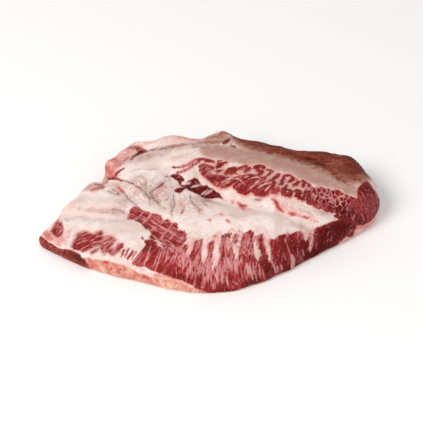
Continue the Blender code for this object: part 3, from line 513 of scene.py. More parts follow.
wrinkleSpots = (  # where the fat is puckered and veined, and greyed by painted shade in its folds
    (150, 190, 26, 14, 10, 1), (186, 202, 26, 12, 8, 0.85), (128, 194, 20, 12, 25, 0.7),
    (214, 205, 14, 7, 6, 0.35), (112, 187, 16, 7, 12, 0.7), (207, 199.6, 9, 3.6, 24, 0.9),
    (118, 212, 16, 6, 12, 0.7), (165, 176, 18, 7, -20, 0.45), (280, 203, 30, 7, 22, 0.45),
    (205, 262, 10, 10, 0, 0.3), (130, 172, 20, 8, -20, 0.25),
)
formSpots = (  # soft swells and hollows that follow the outline, in mm
    (354, 157, 15, 8, 28, 6.5), (98, 176, 7, 9, -40, -6), (112, 157, 7, 7, -40, -2.5),
)

# Fibres of the front muscle: each row is one fibre, by the x that it has at the upper edge, in the middle and
# at the lower edge. The upper and lower edges give their y.
frontFibres = (
    (120, 108, 96), (150, 138, 128), (163, 149, 140), (176, 163, 152), (190, 178, 168), (204, 195, 188),
    (218, 208, 203), (232, 222, 220), (246, 237, 238), (262, 254, 256), (278, 273, 277), (295, 290, 293),
    (312, 306, 306), (328, 320, 318), (344, 334, 330), (362, 350, 344),
)
frontTop = ((120, 246), (150, 240), (190, 239), (230, 231), (262, 231), (300, 230), (335, 219), (362, 214))
frontFoot = ((96, 262), (130, 266), (165, 277), (203, 290), (240, 290), (280, 277), (320, 260), (350, 240))
frontShares = {"low": -0.3, "high": 1.3, "steps": 33, "spacing": 15.0}
fibreTurns = {  # centre and direction of the fibres of each muscle, in degrees above the photograph's right
    "grained": ((199, 166), 30.0),
    "cells": ((310, 195), 68.0),
    "plaid": ((132, 212), -30.0),
    "cutHead": ((178, 178), 30.0),
    "cut": ((196, 186), 34.0),
    "cutNook": ((178, 190), 30.0),
    "leftPatch": ((92, 242), 28.0),
    "tipPatch": ((58, 228), 55.0),
}
endTurns = {"centre": (350.0, 208.0), "flat": 0.8, "mmPerRadian": 26}   # the fibres of the end run round

markSizes = {  # pixels
    "bundleGrowth": 0.45, "fleckShrink": 0.2, "strokeGrowth": 0.3, "strokesEnd": 200,
    "fingerShare": 0.6, "fingerShrink": 0.15, "frontReach": -3, "darkGrowth": 0.4,
    "fade": 30,                 # how much small marks shrink where the visible side ends
}
markAmounts = {
    "tanAndShade": 0.95, "pinkStroke": 0.6, "rimPink": 0.24, "rimPinkLeft": 0.62, "fingerPink": 0.42,
    "fingerPale": 0.75,
    "redHalo": 0.85, "dryRim": 0.9, "feather": 0.58, "leastGrainFat": 0.22,
}
shareRanges = {  # where each soft share goes from 0 to 1
    "fade": (0.001, 0.006), "hidden": (0.002, 0.007),   # metres from the nearest point that is seen
    # pixels from the edge of a mark
    "tanAndShade": (-5.0, 3.5), "pinkStroke": (-1.2, 0.8), "rim": (-2.0, 2.0), "finger": (-4.0, 0.5),
    "redHalo": (-3.6, -0.2), "dryRim": (-8.0, -1.0), "tanStroke": (-2.0, 1.0), "ground": (-3.0, -0.6),
    "lobed": (-0.8, 1.2), "ended": (-3, 3), "grainTop": (-5, 4), "grained": (-1.0, 3.5),
    "nearGrain": (-7.0, -2.5),
    "bundle": (-1.4, 1.6), "trimmed": (-0.8, 2.0), "fat": (-0.6, 1.2), "fingerRise": (-1.0, 1.5),
    "threadRise": (-0.8, 0.4), "cap": (-1.0, 2.0), "dry": (-2, 3), "darkMeat": (-1.5, 1.0),
    # pixels from the frame's left, below zero where the share grows towards the left
    "dryRight": (226, 240), "groundRight": (198, 204),
    "rimLeft": (-150, -116), "featherLeft": (-126, -119), "grainLeft": (-352, -343),
    "under": (0.35, 0.75),      # how far a face is turned down
    "footRight": (20, 160), "backFar": (20, 60), "backRight": (-30, 20),   # mm of the piece
}
pleats = {"x": 181, "y": 150, "least": 8, "perRadian": 9, "pixelSpan": 26, "heightSpan": 40}
hiddenSides = {  # mm
    "wander": 5, "wanderSpan": 45, "fineWander": 2.5, "fineWanderSpan": 14,
    "footHeight": 11, "footLower": 5, "footRate": 0.8, "outside": -9.0, "underRate": 14, "underLess": 6,
    "rindWander": 5, "rindSlant": 0.8, "rindMiddle": 36, "rindLess": 4, "rindRate": 12,
}
trimmedMuscles = ("plaid", "cut", "cutHead", "cutNook", "leftPatch", "tipPatch")
cellEdge = {"x": 312, "y": 187, "slope": 0.27, "reach": 12}   # upper edge of the coarse cells, in pixels
noiseSeeds = {
    "pleats": 7.3, "wander": 3.1, "fineWander": 8.7, "lumps": 1.7, "fine": 4.1, "fibres": 2.2, "lobes": 6.6,
    "wrinkles": 5.5,
}
brisketLook = {
    "subdivisions": 2,
    "mergeDistance": 0.00002,
    "quadAngle": 60,            # degrees up to which two triangles join
    "facingLimit": 0.04,        # less than this turned to the camera counts as hidden
    "creaseDepth": 1.2, "creaseWidth": 1.3,      # mm, pixels
    "trimDepth": 1.0,           # how far the trimmed muscle lies below the fat, mm
    "swellDepth": 1.2,          # how far the grained muscle stands over the fat below it, mm
    "bundleDepth": 1.9,         # how far its bundles stand over the fat between them, mm
    "lumpSpan": 11.0, "lumpDepth": 0.55,         # soft lumps of the fat, mm
    "fineSpan": 4.2, "fineDepth": 0.22, "leanLumps": 0.35,
    "fibreDepth": 0.35, "fibreSpans": (2.6, 22, 60),   # ridges along the muscle fibres, mm
    "fingerHeight": 0.9, "threadHeight": 0.35,   # fat between the fibres, mm
    "pleatDepth": 1.3,
    "knobDepth": 1.3,           # knobs of the coarse grain, mm
    "capLumpSpan": 6.5, "capLumpDepth": 0.9,     # lobes of the fat cap, mm
    "dryDepth": 0.55, "drySpans": (16, 3.6, 3.6),      # wrinkles of the dry back edge, mm
    "foldDepth": 1.6,           # dark folds of the rim, mm
    "footFacing": 0.9, "footReach": 0.4,         # what is turned down, these mm from the table, lies on it
    "boxGap": 0.00005,          # metres between the highest points and the box
}


def eased(name, values):  # a smooth share from 0 to 1
    low, high = shareRanges[name]
    share = np.clip((values - low) / (high - low), 0, 1)
    return share * share * (3 - 2 * share)


def lineDistance(px, py, start, end):  # place of the nearest point on a line, from 0 to 1, and how far it is
    dx, dy = end[0] - start[0], end[1] - start[1]
    x, y = px - start[0], py - start[1]
    along = np.clip((x * dx + y * dy) / (dx * dx + dy * dy), 0, 1)
    return along, np.hypot(x - along * dx, y - along * dy)


def outlineDistance(px, py, outline):  # signed distance in pixels, above zero inside
    corners = np.array(outline, float)
    nearest = np.full(px.shape, np.inf)
    inside = np.zeros(px.shape, bool)
    for start, end in zip(corners, np.roll(corners, -1, 0)):
        nearest = np.minimum(nearest, lineDistance(px, py, start, end)[1])
        (ax, ay), (bx, by) = start, end
        if ay != by:
            inside ^= ((ay > py) != (by > py)) & (px < (bx - ax) * (py - ay) / (by - ay) + ax)
    return np.where(inside, nearest, -nearest)


def strokeDistance(px, py, stroke):  # above zero inside a stroke whose half width changes along it
    best = np.full(px.shape, -np.inf)
    for start, end in zip(stroke[:-1], stroke[1:]):
        along, away = lineDistance(px, py, start, end)
        best = np.maximum(best, start[2] + (end[2] - start[2]) * along - away)
    return best


def strokesDistance(px, py, strokes):
    return np.max([strokeDistance(px, py, stroke) for stroke in strokes], 0)


def threadsDistance(px, py):  # straight threads that thin out towards both ends
    best = np.full(px.shape, -np.inf)
    for ax, ay, bx, by, half in fatThreads:
        along, away = lineDistance(px, py, (ax, ay), (bx, by))
        best = np.maximum(best, half * (0.45 + 2.2 * along * (1 - along)) - away)
    return best


def creaseFields(px, py):  # signed distance to the nearest crease in pixels, and how deep that crease is
    nearest = np.full(px.shape, 99.0)
    signed = nearest.copy()
    depth = np.zeros(px.shape)
    for points, strength in creases:
        for i, (start, end) in enumerate(zip(points[:-1], points[1:])):
            along, away = lineDistance(px, py, start, end)
            closer = away < nearest
            nearest = np.where(closer, away, nearest)
            side = np.sign((end[0] - start[0]) * (py - start[1]) - (end[1] - start[1]) * (px - start[0]))
            signed = np.where(closer, away * side, signed)
            place = (i + along) / (len(points) - 1)
            fading = np.clip(4 * np.minimum(place, 1 - place) + 0.25, 0, 1)
            depth = np.where(closer, strength * fading, depth)
    return signed, depth


def spotShapes(px, py, spots):
    for x, y, halfLength, halfHeight, turn, strength in spots:
        c, s = math.cos(math.radians(turn)), math.sin(math.radians(turn))
        u = ((px - x) * c + (py - y) * s) / halfLength
        v = ((py - y) * c - (px - x) * s) / halfHeight
        yield strength * np.exp(-((u * u + v * v) ** 1.5))


def spotField(px, py, spots):
    return np.maximum(np.max(list(spotShapes(px, py, spots)), 0), 0)


def noiseField(name, places):
    seed = noiseSeeds[name]
    return np.array([noise.noise((x, y, z + seed)) for x, y, z in places])


def frontFibrePlace(px, py):  # across and along the fibres, in mm of the photograph's plane
    top = np.interp(px, *np.array(frontTop, float).T)
    foot = np.interp(px, *np.array(frontFoot, float).T)
    low, high = frontShares["low"], frontShares["high"]
    share = np.clip((py - top) / (foot - top), low, high)
    upper, middle, lower = np.array(frontFibres, float).T
    numbers = np.arange(len(upper)) * frontShares["spacing"]
    last = frontShares["steps"] - 1
    tables = []   # the fibres' places across the muscle at each height
    for step in np.linspace(low, high, frontShares["steps"]):
        a, b, c = (1 - step) * (1 - 2 * step), 4 * step * (1 - step), step * (2 * step - 1)
        tables.append(np.interp(px, upper * a + middle * b + lower * c, numbers))
    tables = np.array(tables)
    level = (share - low) / (high - low) * last
    below = np.clip(level.astype(int), 0, last - 1)
    part = level - below
    index = np.arange(len(px))
    across = tables[below, index] * (1 - part) + tables[below + 1, index] * part
    return across * photoView["mmPerPixel"], (py - top) * photoView["mmPerPixel"]


def turnedPlace(px, py, centre, turn):  # across and along a direction, turned up from the photograph's right
    c, s = math.cos(math.radians(turn)), math.sin(math.radians(turn))
    x, y = px - centre[0], centre[1] - py
    return (y * c - x * s) * photoView["mmPerPixel"], (x * c + y * s) * photoView["mmPerPixel"]


def fibrePlaces(kinds, px, py):
    across, along = frontFibrePlace(px, py)
    for kind, (centre, turn) in fibreTurns.items():
        a, b = turnedPlace(px, py, centre, turn)
        across = np.where(kinds == kind, a, across)
        along = np.where(kinds == kind, b, along)
    x, y = px - endTurns["centre"][0], py - endTurns["centre"][1]
    across = np.where(kinds == "end", np.hypot(x, y * endTurns["flat"]) * photoView["mmPerPixel"], across)
    along = np.where(kinds == "end", np.arctan2(y, x) * endTurns["mmPerRadian"], along)
    return across, along


def makeBrisket():
    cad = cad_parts["brisket"]
    piece = bpy.data.objects.new("wholeBrisket", cad.data.copy())
    bpy.context.scene.collection.objects.link(piece)
    piece.data.name = "wholeBrisket"
    bpy.ops.object.select_all(action="DESELECT")
    piece.select_set(True)
    bpy.context.view_layer.objects.active = piece
    bpy.ops.object.mode_set(mode="EDIT")
    bpy.ops.mesh.select_all(action="SELECT")
    bpy.ops.mesh.remove_doubles(threshold=brisketLook["mergeDistance"])
    bpy.ops.mesh.customdata_custom_splitnormals_clear()
    quadAngle = math.radians(brisketLook["quadAngle"])
    bpy.ops.mesh.tris_convert_to_quads(face_threshold=quadAngle, shape_threshold=quadAngle)
    bpy.ops.object.mode_set(mode="OBJECT")
    finer = piece.modifiers.new("finer", "SUBSURF")
    finer.levels = finer.render_levels = brisketLook["subdivisions"]
    bpy.ops.object.modifier_apply(modifier="finer")
    bpy.ops.object.shade_smooth()
    for layer in list(piece.data.uv_layers):
        piece.data.uv_layers.remove(layer)
    return piece


def readVectors(data, name):
    values = np.zeros(len(data) * 3, np.float32)
    data.foreach_get(name, values)
    return values.reshape(-1, 3).astype(float)


def movePoints(mesh, points):
    mesh.vertices.foreach_set("co", points.astype(np.float32).ravel())
    mesh.update()


def storeField(mesh, name, values):
    kind = "FLOAT" if values.ndim == 1 else "FLOAT_VECTOR"
    layer = mesh.attributes.new(name, kind, "POINT")
    layer.data.foreach_set("value" if kind == "FLOAT" else "vector", values.astype(np.float32).ravel())


def photoPlaces(points):
    away = points - cameraPlace
    depth = away @ viewAhead
    px = middlePixel + away @ viewRight / depth * focalPixels
    py = middlePixel - away @ viewUp / depth * focalPixels
    return px, py


def seenPlaces(points, normals):  # hidden points take the pixel of the nearest point that the camera sees
    px, py = photoPlaces(points)
    towards = cameraPlace - points
    facing = (normals * towards).sum(1) / np.linalg.norm(towards, axis=1)
    seen = facing > brisketLook["facingLimit"]
    indices = np.flatnonzero(seen)
    tree = KDTree(len(indices))
    for i in indices:
        tree.insert(points[i], int(i))
    tree.balance()
    hidden = np.flatnonzero(~seen)
    near = np.array([tree.find(points[i])[1] for i in hidden])
    px[hidden], py[hidden] = px[near], py[near]
    turned = np.zeros(len(points))
    turned[hidden] = np.linalg.norm(points[hidden] - points[near], axis=1)
    return px, py, turned


def readEdges(px, py):  # signed distances to the edges of the muscles, and which muscle is nearest
    edges = {name: outlineDistance(px, py, outline) for name, outline in leanOutlines.items()}
    bundles = strokesDistance(px, py, grainBundles) + markSizes["bundleGrowth"]
    flecks = strokesDistance(px, py, grainFlecks) - markSizes["fleckShrink"]
    edges["grained"] = np.minimum(np.maximum(bundles, edges["grained"]), -flecks)
    stack = np.array(list(edges.values()))
    kinds = np.array(list(edges))[stack.argmax(0)]
    strokes = strokesDistance(px, py, leanStrokes) + markSizes["strokeGrowth"]
    kinds = np.where((strokes > stack.max(0)) & (px < markSizes["strokesEnd"]), "stroke", kinds)
    edges["finger"] = strokesDistance(px, py, fatFingers)
    besideFinger = -markSizes["fingerShare"] * edges["finger"] - markSizes["fingerShrink"]
    edges["lean"] = np.minimum(np.maximum(stack.max(0), strokes), besideFinger)
    edges["thread"] = threadsDistance(px, py)
    edges["dark"] = strokesDistance(px, py, darkStrokes)
    return edges, kinds


def readFields(px, py, turned, height, edges, kinds):  # the attributes that the material reads
    fade = markSizes["fade"] * eased("fade", turned)
    amounts = markAmounts
    dry = outlineDistance(px, py, dryOutline)
    wall = np.maximum(outlineDistance(px, py, wallOutline), edges["dark"] + markSizes["darkGrowth"] - fade)
    reds = strokesDistance(px, py, redStrokes) - fade
    crease, creaseDepth = creaseFields(px, py)
    nearFinger = (edges["front"] > markSizes["frontReach"]) * eased("finger", edges["finger"])

    # tan fat and painted shade; the white spots take this field below zero, which paints light
    tanAndShade = np.maximum(eased("tanAndShade", outlineDistance(px, py, tanOutline)) * amounts["tanAndShade"],
                     spotField(px, py, tanAndShadeSpots))
    tanAndShade = np.maximum(tanAndShade - spotField(px, py, whiteAndLitSpots),
                     amounts["dryRim"] * eased("dryRim", dry) * eased("dryRight", px))
    rimPink = amounts["rimPink"] + amounts["rimPinkLeft"] * eased("rimLeft", -px)
    pink = np.max([
        spotField(px, py, pinkSpots),
        eased("pinkStroke", strokesDistance(px, py, pinkStrokes)) * amounts["pinkStroke"],
        eased("rim", outlineDistance(px, py, rimOutline)) * rimPink,
        amounts["fingerPink"] * nearFinger,
        amounts["redHalo"] * eased("redHalo", reds),
    ], 0)

    x, y = px - pleats["x"], py - pleats["y"]
    fan = np.arctan2(x, np.maximum(y, pleats["least"]))   # pleats fan out below the dark cut
    away = np.hypot(x, y) / pleats["pixelSpan"]
    fanPlaces = np.stack([fan * pleats["perRadian"], away, height / pleats["heightSpan"]], 1)
    cellTop = cellEdge["y"] + cellEdge["slope"] * np.maximum(px - cellEdge["x"], 0)
    cellShare = eased("grainTop", cellTop + cellEdge["reach"] - py) * eased("grainLeft", -px)
    leastFat = amounts["leastGrainFat"]
    across, along = fibrePlaces(kinds, px, py)
    return {
        "fibrePlace": np.stack([across, along, np.zeros(len(px))], 1),
        "leanEdge": edges["lean"], "threadEdge": edges["thread"],
        "dryEdge": dry, "wallEdge": wall, "redEdge": reds,
        "capEdge": outlineDistance(px, py, capOutline), "nubEdge": strokeDistance(px, py, nubStroke) - fade,
        "tanAndShade": tanAndShade, "pink": pink, "brown": eased("tanStroke", strokesDistance(px, py, tanStrokes)),
        # deep red, and painted shade on the bottom edge and the shoulder turned from the light
        "deep": spotField(px, py, deepAndShadeSpots),
        "pale": np.maximum(spotField(px, py, palerSpots), amounts["fingerPale"] * nearFinger),
        "purpleAndSheen": spotField(px, py, purpleAndSheenSpots), "wrinkled": spotField(px, py, wrinkleSpots),
        "feather": 1 - amounts["feather"] * eased("featherLeft", -px),
        "creaseEdge": crease, "creaseDepth": creaseDepth, "pleat": noiseField("pleats", fanPlaces),
        "ground": eased("ground", edges["grained"]) * eased("groundRight", px),
        "grained": (kinds == "cells").astype(float),
        "lobed": (kinds == "grained") * eased("lobed", edges["grained"]),
        "ended": eased("ended", edges["end"] - edges["cells"]) * np.isin(kinds, ("end", "cells")),
        "cutting": np.isin(kinds, ("cut", "cutHead", "cutNook")).astype(float),
        "grainFat": leastFat + (1 - leastFat) * cellShare,
    }


def finishHidden(fields, mm, normals, turned):  # dry rind down the back, fat cap below and round the foot
    sides = hiddenSides
    x, y, z = mm.T
    wander = (sides["wander"] * noiseField("wander", mm / sides["wanderSpan"])
              + sides["fineWander"] * noiseField("fineWander", mm / sides["fineWanderSpan"]))
    under = eased("under", -normals[:, 2])
    footLine = sides["footHeight"] + wander - sides["footLower"] * eased("footRight", x)
    foot = np.where(turned > 0, (footLine - z) * sides["footRate"], sides["outside"])
    fields["capEdge"] = np.max([fields["capEdge"], foot, under * sides["underRate"] - sides["underLess"]], 0)
    slant = sides["rindWander"] * wander + sides["rindSlant"] * (sides["rindMiddle"] - z)
    back = eased("backFar", y) * eased("backRight", x + slant) * eased("hidden", turned)
    rind = np.maximum(fields["dryEdge"], sides["rindRate"] * back - sides["rindLess"])
    fields["dryEdge"] = np.where(turned > 0, rind, fields["dryEdge"])
    fields["under"] = under


def reliefDepths(fields, edges, px, py, mm):  # mm along the normal
    look = brisketLook
    across, along = fields["fibrePlace"][:, :2].T
    fat = eased("fat", -edges["lean"])
    grained = eased("grained", np.maximum(edges["grained"], edges["cells"]))
    nearGrain = eased("nearGrain", edges["grained"]) * (edges["grained"] > edges["cells"])
    trimmed = np.max([edges[name] for name in trimmedMuscles], 0)
    lumps = (look["lumpDepth"] * noiseField("lumps", mm / look["lumpSpan"])
             + look["fineDepth"] * noiseField("fine", mm / look["fineSpan"]))
    fibres = noiseField("fibres", np.stack([across, along, mm[:, 2]], 1) / look["fibreSpans"])
    lobes = noiseField("lobes", mm / look["capLumpSpan"])
    wrinkles = noiseField("wrinkles", mm / look["drySpans"])
    creased = fields["creaseDepth"] * np.exp(-((fields["creaseEdge"] / look["creaseWidth"]) ** 2))
    fingerRise = eased("fingerRise", edges["finger"]) * (edges["front"] > markSizes["frontReach"])
    return (
        look["swellDepth"] * grained + sum(spotShapes(px, py, formSpots))
        + look["bundleDepth"] * (eased("bundle", edges["grained"]) - 0.5) * nearGrain
        - look["trimDepth"] * eased("trimmed", trimmed)
        - look["creaseDepth"] * creased
        + lumps * (look["leanLumps"] + (1 - look["leanLumps"]) * fat)
        + look["fibreDepth"] * fibres * (1 - fat) * (1 - grained)
        + look["fingerHeight"] * fingerRise
        + look["threadHeight"] * eased("threadRise", edges["thread"]) * (1 - fat)
        - look["pleatDepth"] * fields["pleat"] * fields["wrinkled"] * fat
        + look["capLumpDepth"] * lobes * eased("cap", fields["capEdge"]) * (1 - fields["under"])
        + look["dryDepth"] * wrinkles * eased("dry", fields["dryEdge"])
        - look["foldDepth"] * eased("darkMeat", edges["dark"])
    )


def dressBrisket(piece):
    mesh = piece.data
    points = readVectors(mesh.vertices, "co")
    normals = readVectors(mesh.vertices, "normal")
    mm = points * 1000
    px, py, turned = seenPlaces(points, normals)
    edges, kinds = readEdges(px, py)
    fields = readFields(px, py, turned, mm[:, 2], edges, kinds)
    finishHidden(fields, mm, normals, turned)
    for name, values in fields.items():
        storeField(mesh, name, values)
    points += normals * (reliefDepths(fields, edges, px, py, mm) / 1000)[:, None]
    onTable = (normals[:, 2] < -brisketLook["footFacing"]) & (mm[:, 2] < brisketLook["footReach"])
    points[onTable, 2] = 0
    movePoints(mesh, points)


def keepInBox(mesh):  # nothing stands out of the box of the CAD model
    low, high = (np.array(corner, float) for corner in cadBox)
    movePoints(mesh, np.clip(readVectors(mesh.vertices, "co"), low, high - brisketLook["boxGap"]))


# Colours are linear: how bright the surface is under plain white light.
meatTints = {
    "fatCream": (0.77, 0.602, 0.548, 1), "fatBright": (0.90, 0.768, 0.728, 1),
    # the whitest fat tint is painted light
    "fatLitWhite": (0.96, 0.825, 0.770, 1),
    # the tan tint stands for both tan membrane and painted shade
    "fatYellow": (0.82, 0.678, 0.592, 1), "fatTanAndShade": (0.475, 0.290, 0.225, 1),
    "fatTanRed": (0.46, 0.250, 0.200, 1),
    "fatPink": (0.76, 0.385, 0.350, 1), "fatSalmon": (0.58, 0.155, 0.125, 1),
    "fatBrown": (0.31, 0.110, 0.085, 1),
    # the grey fat tint is painted shade in the puckers
    "fatShadeGrey": (0.56, 0.385, 0.350, 1), "grainGround": (0.72, 0.36, 0.295, 1),
    "vein": (0.34, 0.180, 0.160, 1),
    # the crease line tint is painted shade in the creases
    "creaseShadeLine": (0.130, 0.055, 0.048, 1), "speck": (0.47, 0.190, 0.170, 1),
    "septum": (0.64, 0.288, 0.272, 1),
    "thread": (0.70, 0.355, 0.328, 1), "leanBright": (0.385, 0.031, 0.036, 1),
    "leanRed": (0.205, 0.009, 0.0085, 1),
    # the dark lean tint is both deep red and painted shade
    "leanDarkAndShade": (0.088, 0.002, 0.0014, 1), "leanPink": (0.56, 0.188, 0.194, 1),
    "leanPurpleAndSheen": (0.28, 0.06, 0.064, 1),
    "leanCut": (0.1, 0.002, 0.0045, 1), "cutPink": (0.25, 0.036, 0.046, 1),
    "dryRed": (0.165, 0.023, 0.015, 1),
    "dryBrown": (0.25, 0.07, 0.042, 1), "dryDarkAndShade": (0.092, 0.01, 0.006, 1),
    "dryPale": (0.36, 0.138, 0.09, 1),
    "capSalmon": (0.56, 0.165, 0.125, 1), "capPale": (0.74, 0.345, 0.27, 1),
    "capRed": (0.33, 0.048, 0.04, 1),
    "capCream": (0.86, 0.59, 0.44, 1), "nubRed": (0.46, 0.095, 0.085, 1),
    "wallRed": (0.17, 0.016, 0.012, 1),
    "wallDark": (0.06, 0.008, 0.0045, 1), "wallBrown": (0.4, 0.105, 0.08, 1),
    "redSpot": (0.35, 0.022, 0.026, 1),
}
meatNoises = {  # how fine, per metre, detail, roughness, and where in the noise it lies if it is moved
    "wide": (26, 3, 0.55), "middle": (95, 5, 0.62, 1.3, 4.1, 2.2), "fine": (330, 4, 0.65),
    "yellow": (40, 4, 0.6, 5.5, 0.3, 2.0), "blush": (80, 5, 0.65, 3.1, 1.7, 0.4), "mottle": (320, 4, 0.65),
    "speck": (430, 2, 0.5, 2.7, 6.1, 1.4), "drySpots": (95, 5, 0.65),
    "dryMottle": (300, 4, 0.6, 0.4, 3.3, 1.9),
    "capMottle": (62, 4, 0.6), "smear": (52, 5, 0.65, 4.1, 0.2, 8.1), "clots": (170, 2, 0.5, 2.4, 7.7, 3.1),
    "ragged": (420, 4, 0.62), "rough": (150, 5, 0.65), "pebbles": (520, 3, 0.6), "swells": (160, 3, 0.55),
    "wet": (38, 3, 0.55),
}
fibreNoises = {  # spans across and along the fibres in mm, where in the noise it lies, and detail
    "broad": (4.5, 22.0, 1.3, 2.0), "thin": (1.9, 12.0, 4.7, 3.0), "line": (4.2, 30.0, 9.1, 1.0),
    "hair": (2.3, 16.0, 5.2, 1.0), "gaps": (9.0, 12.0, 2.2, 2.0), "drawn": (2.2, 9.0, 6.3, 2.0),
    "ridges": (1.1, 14.0, 3.3, 2.0),
}
hairNets = {  # how fine, width of the lines, and where in the noise they lie
    "vein": (62, 0.050, 7.7), "fineVein": (150, 0.085, 2.9), "dryLine": (120, 0.10, 4.4),
}
meatRamps = {  # where a value starts and ends to count, and what it gives there if that isn't 0 and 1
    "fatBright": (0.36, 0.66), "fatYellow": (0.48, 0.64, 0, 0.45), "fatLitWhite": (-0.85, -0.05, 0.85, 0),
    "fatShadeGrey": (0.44, 0.72, 0, 0.75), "tanAndShade": (0.04, 0.95), "fatTanRed": (0.42, 0.60),
    "fatPink": (0.12, 0.85),
    "fatSalmon": (0.65, 1.35), "grainGround": (0.10, 0.90, 0, 0.90), "fatBrown": (0.30, 1.15, 0, 0.85),
    "veined": (0, 1, 0.09, 0.62), "speck": (0.60, 0.72), "specked": (0, 1, 0.08, 0.48),
    "broken": (0.38, 0.54, 0.45, 1), "creaseShadow": (0, 4.5, 0.42, 0), "creaseShadeLine": (0.15, 1.05, 0.9, 0),
    "leanBright": (0.51, 0.70), "leanDarkAndShade": (0.10, 0.95), "leanPurpleAndSheen": (0.35, 1.35),
    "leanPink": (0.22, 1.02),
    "grainGapShade": (0, 0.13, 0.42, 0), "cutPink": (0.50, 0.84), "lineWidth": (0.46, 0.90, -0.03, 0.09),
    "hair": (0, 0.07, 0.42, 0), "line": (0, 0.06, 0.66, 0), "deepLines": (0.25, 1, 1, 0.35),
    "septumWidth": (0.42, 0.60, 0.01, 0.10), "septum": (0, 0.09, 1, 0), "septumShare": (0.05, 1.3, 0.10, 1),
    "corners": (0.60, 0.80), "dryBrown": (0.50, 0.66), "dryDarkAndShade": (0.15, 1), "dryPale": (0.20, 1),
    "capSalmon": (0.05, 0.95), "capCream": (0.38, 0.60, 0, 0.62), "capSmear": (0.57, 0.70, 0, 0.45),
    "capClots": (0.62, 0.72, 0, 0.55), "capPlain": (0.35, 0.7), "thread": (-0.60, 0.60, 0, 0.76),
    "leanMask": (-0.75, 0.75), "halo": (-2, 0.2, 0, 0.42), "dryMask": (-3.5, 3), "capMask": (-0.9, 0.9),
    "wallBrown": (0.44, 0.62), "wallDark": (0.15, 1), "wallMask": (-0.8, 0.8),
    "nubMask": (-1, 0.8, 0, 0.85),
    "redMask": (-1.1, 0.9, 0, 0.9), "roughness": (0.38, 0.62, 0.34, 0.56), "knob": (0, 0.30, -0.5, 0.5),
    "knobShare": (-2, 3),
}
grainCell = {"across": 6.0, "along": 7.6, "warp": 0.30, "warpSpan": 9.0, "lobedShare": 0.75}   # mm
capCell = {"scale": 115, "stretch": (1.0, 1.0, 0.5), "warp": 0.008, "warpScale": 70}
dryRun = {"stretch": (50, 125, 125), "shift": (1.1, 0, 0), "lineStretch": (0.5, 1.2, 1.2)}
wallGrain = {"stretch": (1.0, 1.0, 0.45), "scale": 260}
meatShine = {
    "specular": 0.035, "coat": 0.10, "coatRoughness": 0.20, "dryRougher": 0.22, "leanDull": 0.95,
    "subsurface": 0.08, "subsurfaceRadius": (1.0, 0.35, 0.22), "subsurfaceScale": 0.0012,
    "bumpStrength": 0.40, "bumpDistance": 0.0014,
}


def feed(tree, value, socket):
    if isinstance(value, bpy.types.NodeSocket):
        tree.links.new(value, socket)
    elif value is not None:
        socket.default_value = value


def calc(tree, operation, a, b=None, c=None):
    node = tree.nodes.new("ShaderNodeMath")
    node.operation = operation
    for value, socket in zip((a, b, c), node.inputs):
        feed(tree, value, socket)
    return node.outputs[0]


def times(tree, *values):
    total = values[0]
    for value in values[1:]:
        total = calc(tree, "MULTIPLY", total, value)
    return total


def plus(tree, *values):
    total = values[0]
    for value in values[1:]:
        total = calc(tree, "ADD", total, value)
    return total


def less(tree, a, b):
    return calc(tree, "SUBTRACT", a, b)


def ramped(tree, value, low, high, start=0, end=1):  # smooth step from start to end
    node = tree.nodes.new("ShaderNodeMapRange")
    node.interpolation_type = "SMOOTHSTEP"
    sockets = ("Value", "From Min", "From Max", "To Min", "To Max")
    for socket, item in zip(sockets, (value, low, high, start, end)):
        feed(tree, item, node.inputs[socket])
    return node.outputs["Result"]


def stepped(tree, name, value):
    return ramped(tree, value, *meatRamps[name])


def blended(tree, share, first, second):
    node = tree.nodes.new("ShaderNodeMix")
    node.data_type = "RGBA"
    feed(tree, share, node.inputs[0])
    feed(tree, first, node.inputs[6])
    feed(tree, second, node.inputs[7])
    return node.outputs[2]


def tinted(tree, tint, value, colour):  # this tint over the colour, as far as the value takes the tint's ramp
    return blended(tree, stepped(tree, tint, value), colour, meatTints[tint])


def field(tree, name, output="Fac"):
    node = tree.nodes.new("ShaderNodeAttribute")
    node.attribute_name = name
    return node.outputs[output]


def vectorMath(tree, operation, *values):
    node = tree.nodes.new("ShaderNodeVectorMath")
    node.operation = operation
    for value, socket in zip(values, node.inputs):
        feed(tree, value, socket)
    return node.outputs[0]


def scaled(tree, vector, scale=(1, 1, 1), shift=(0, 0, 0)):
    return vectorMath(tree, "MULTIPLY_ADD", vector, scale, shift)


def cloud(tree, vector, scale=1.0, detail=3.0, rough=0.55, output="Fac"):
    node = tree.nodes.new("ShaderNodeTexNoise")
    feed(tree, vector, node.inputs["Vector"])
    for name, value in (("Scale", scale), ("Detail", detail), ("Roughness", rough)):
        node.inputs[name].default_value = value
    return node.outputs[output]


def warped(tree, vector, scale, bend):  # a wandering offset of up to bend each way
    noise = cloud(tree, vector, scale, 2.0, output="Color")
    return scaled(tree, noise, [2 * part for part in bend], [-part for part in bend])


def cells(tree, vector, scale=1.0, feature="DISTANCE_TO_EDGE"):
    node = tree.nodes.new("ShaderNodeTexVoronoi")
    node.feature = feature
    feed(tree, vector, node.inputs["Vector"])
    node.inputs["Scale"].default_value = scale
    return node.outputs["Distance"]


def centred(tree, value, reach):  # a 0 to 1 noise as plus and minus this reach
    return calc(tree, "MULTIPLY_ADD", value, 2 * reach, -reach)


def meatNoise(tree, space, name):
    scale, detail, rough, *shift = meatNoises[name]
    return cloud(tree, scaled(tree, space, shift=shift) if shift else space, scale, detail, rough)


def fibreNoise(tree, place, name):
    acrossSpan, alongSpan, shift, detail = fibreNoises[name]
    drawn = scaled(tree, place, (1 / acrossSpan, 1 / alongSpan, 0), (shift, shift * 1.7, shift))
    return cloud(tree, drawn, 1.0, detail)


def meatNoiseTable(tree, space, *names):
    return {name: meatNoise(tree, space, name) for name in names}


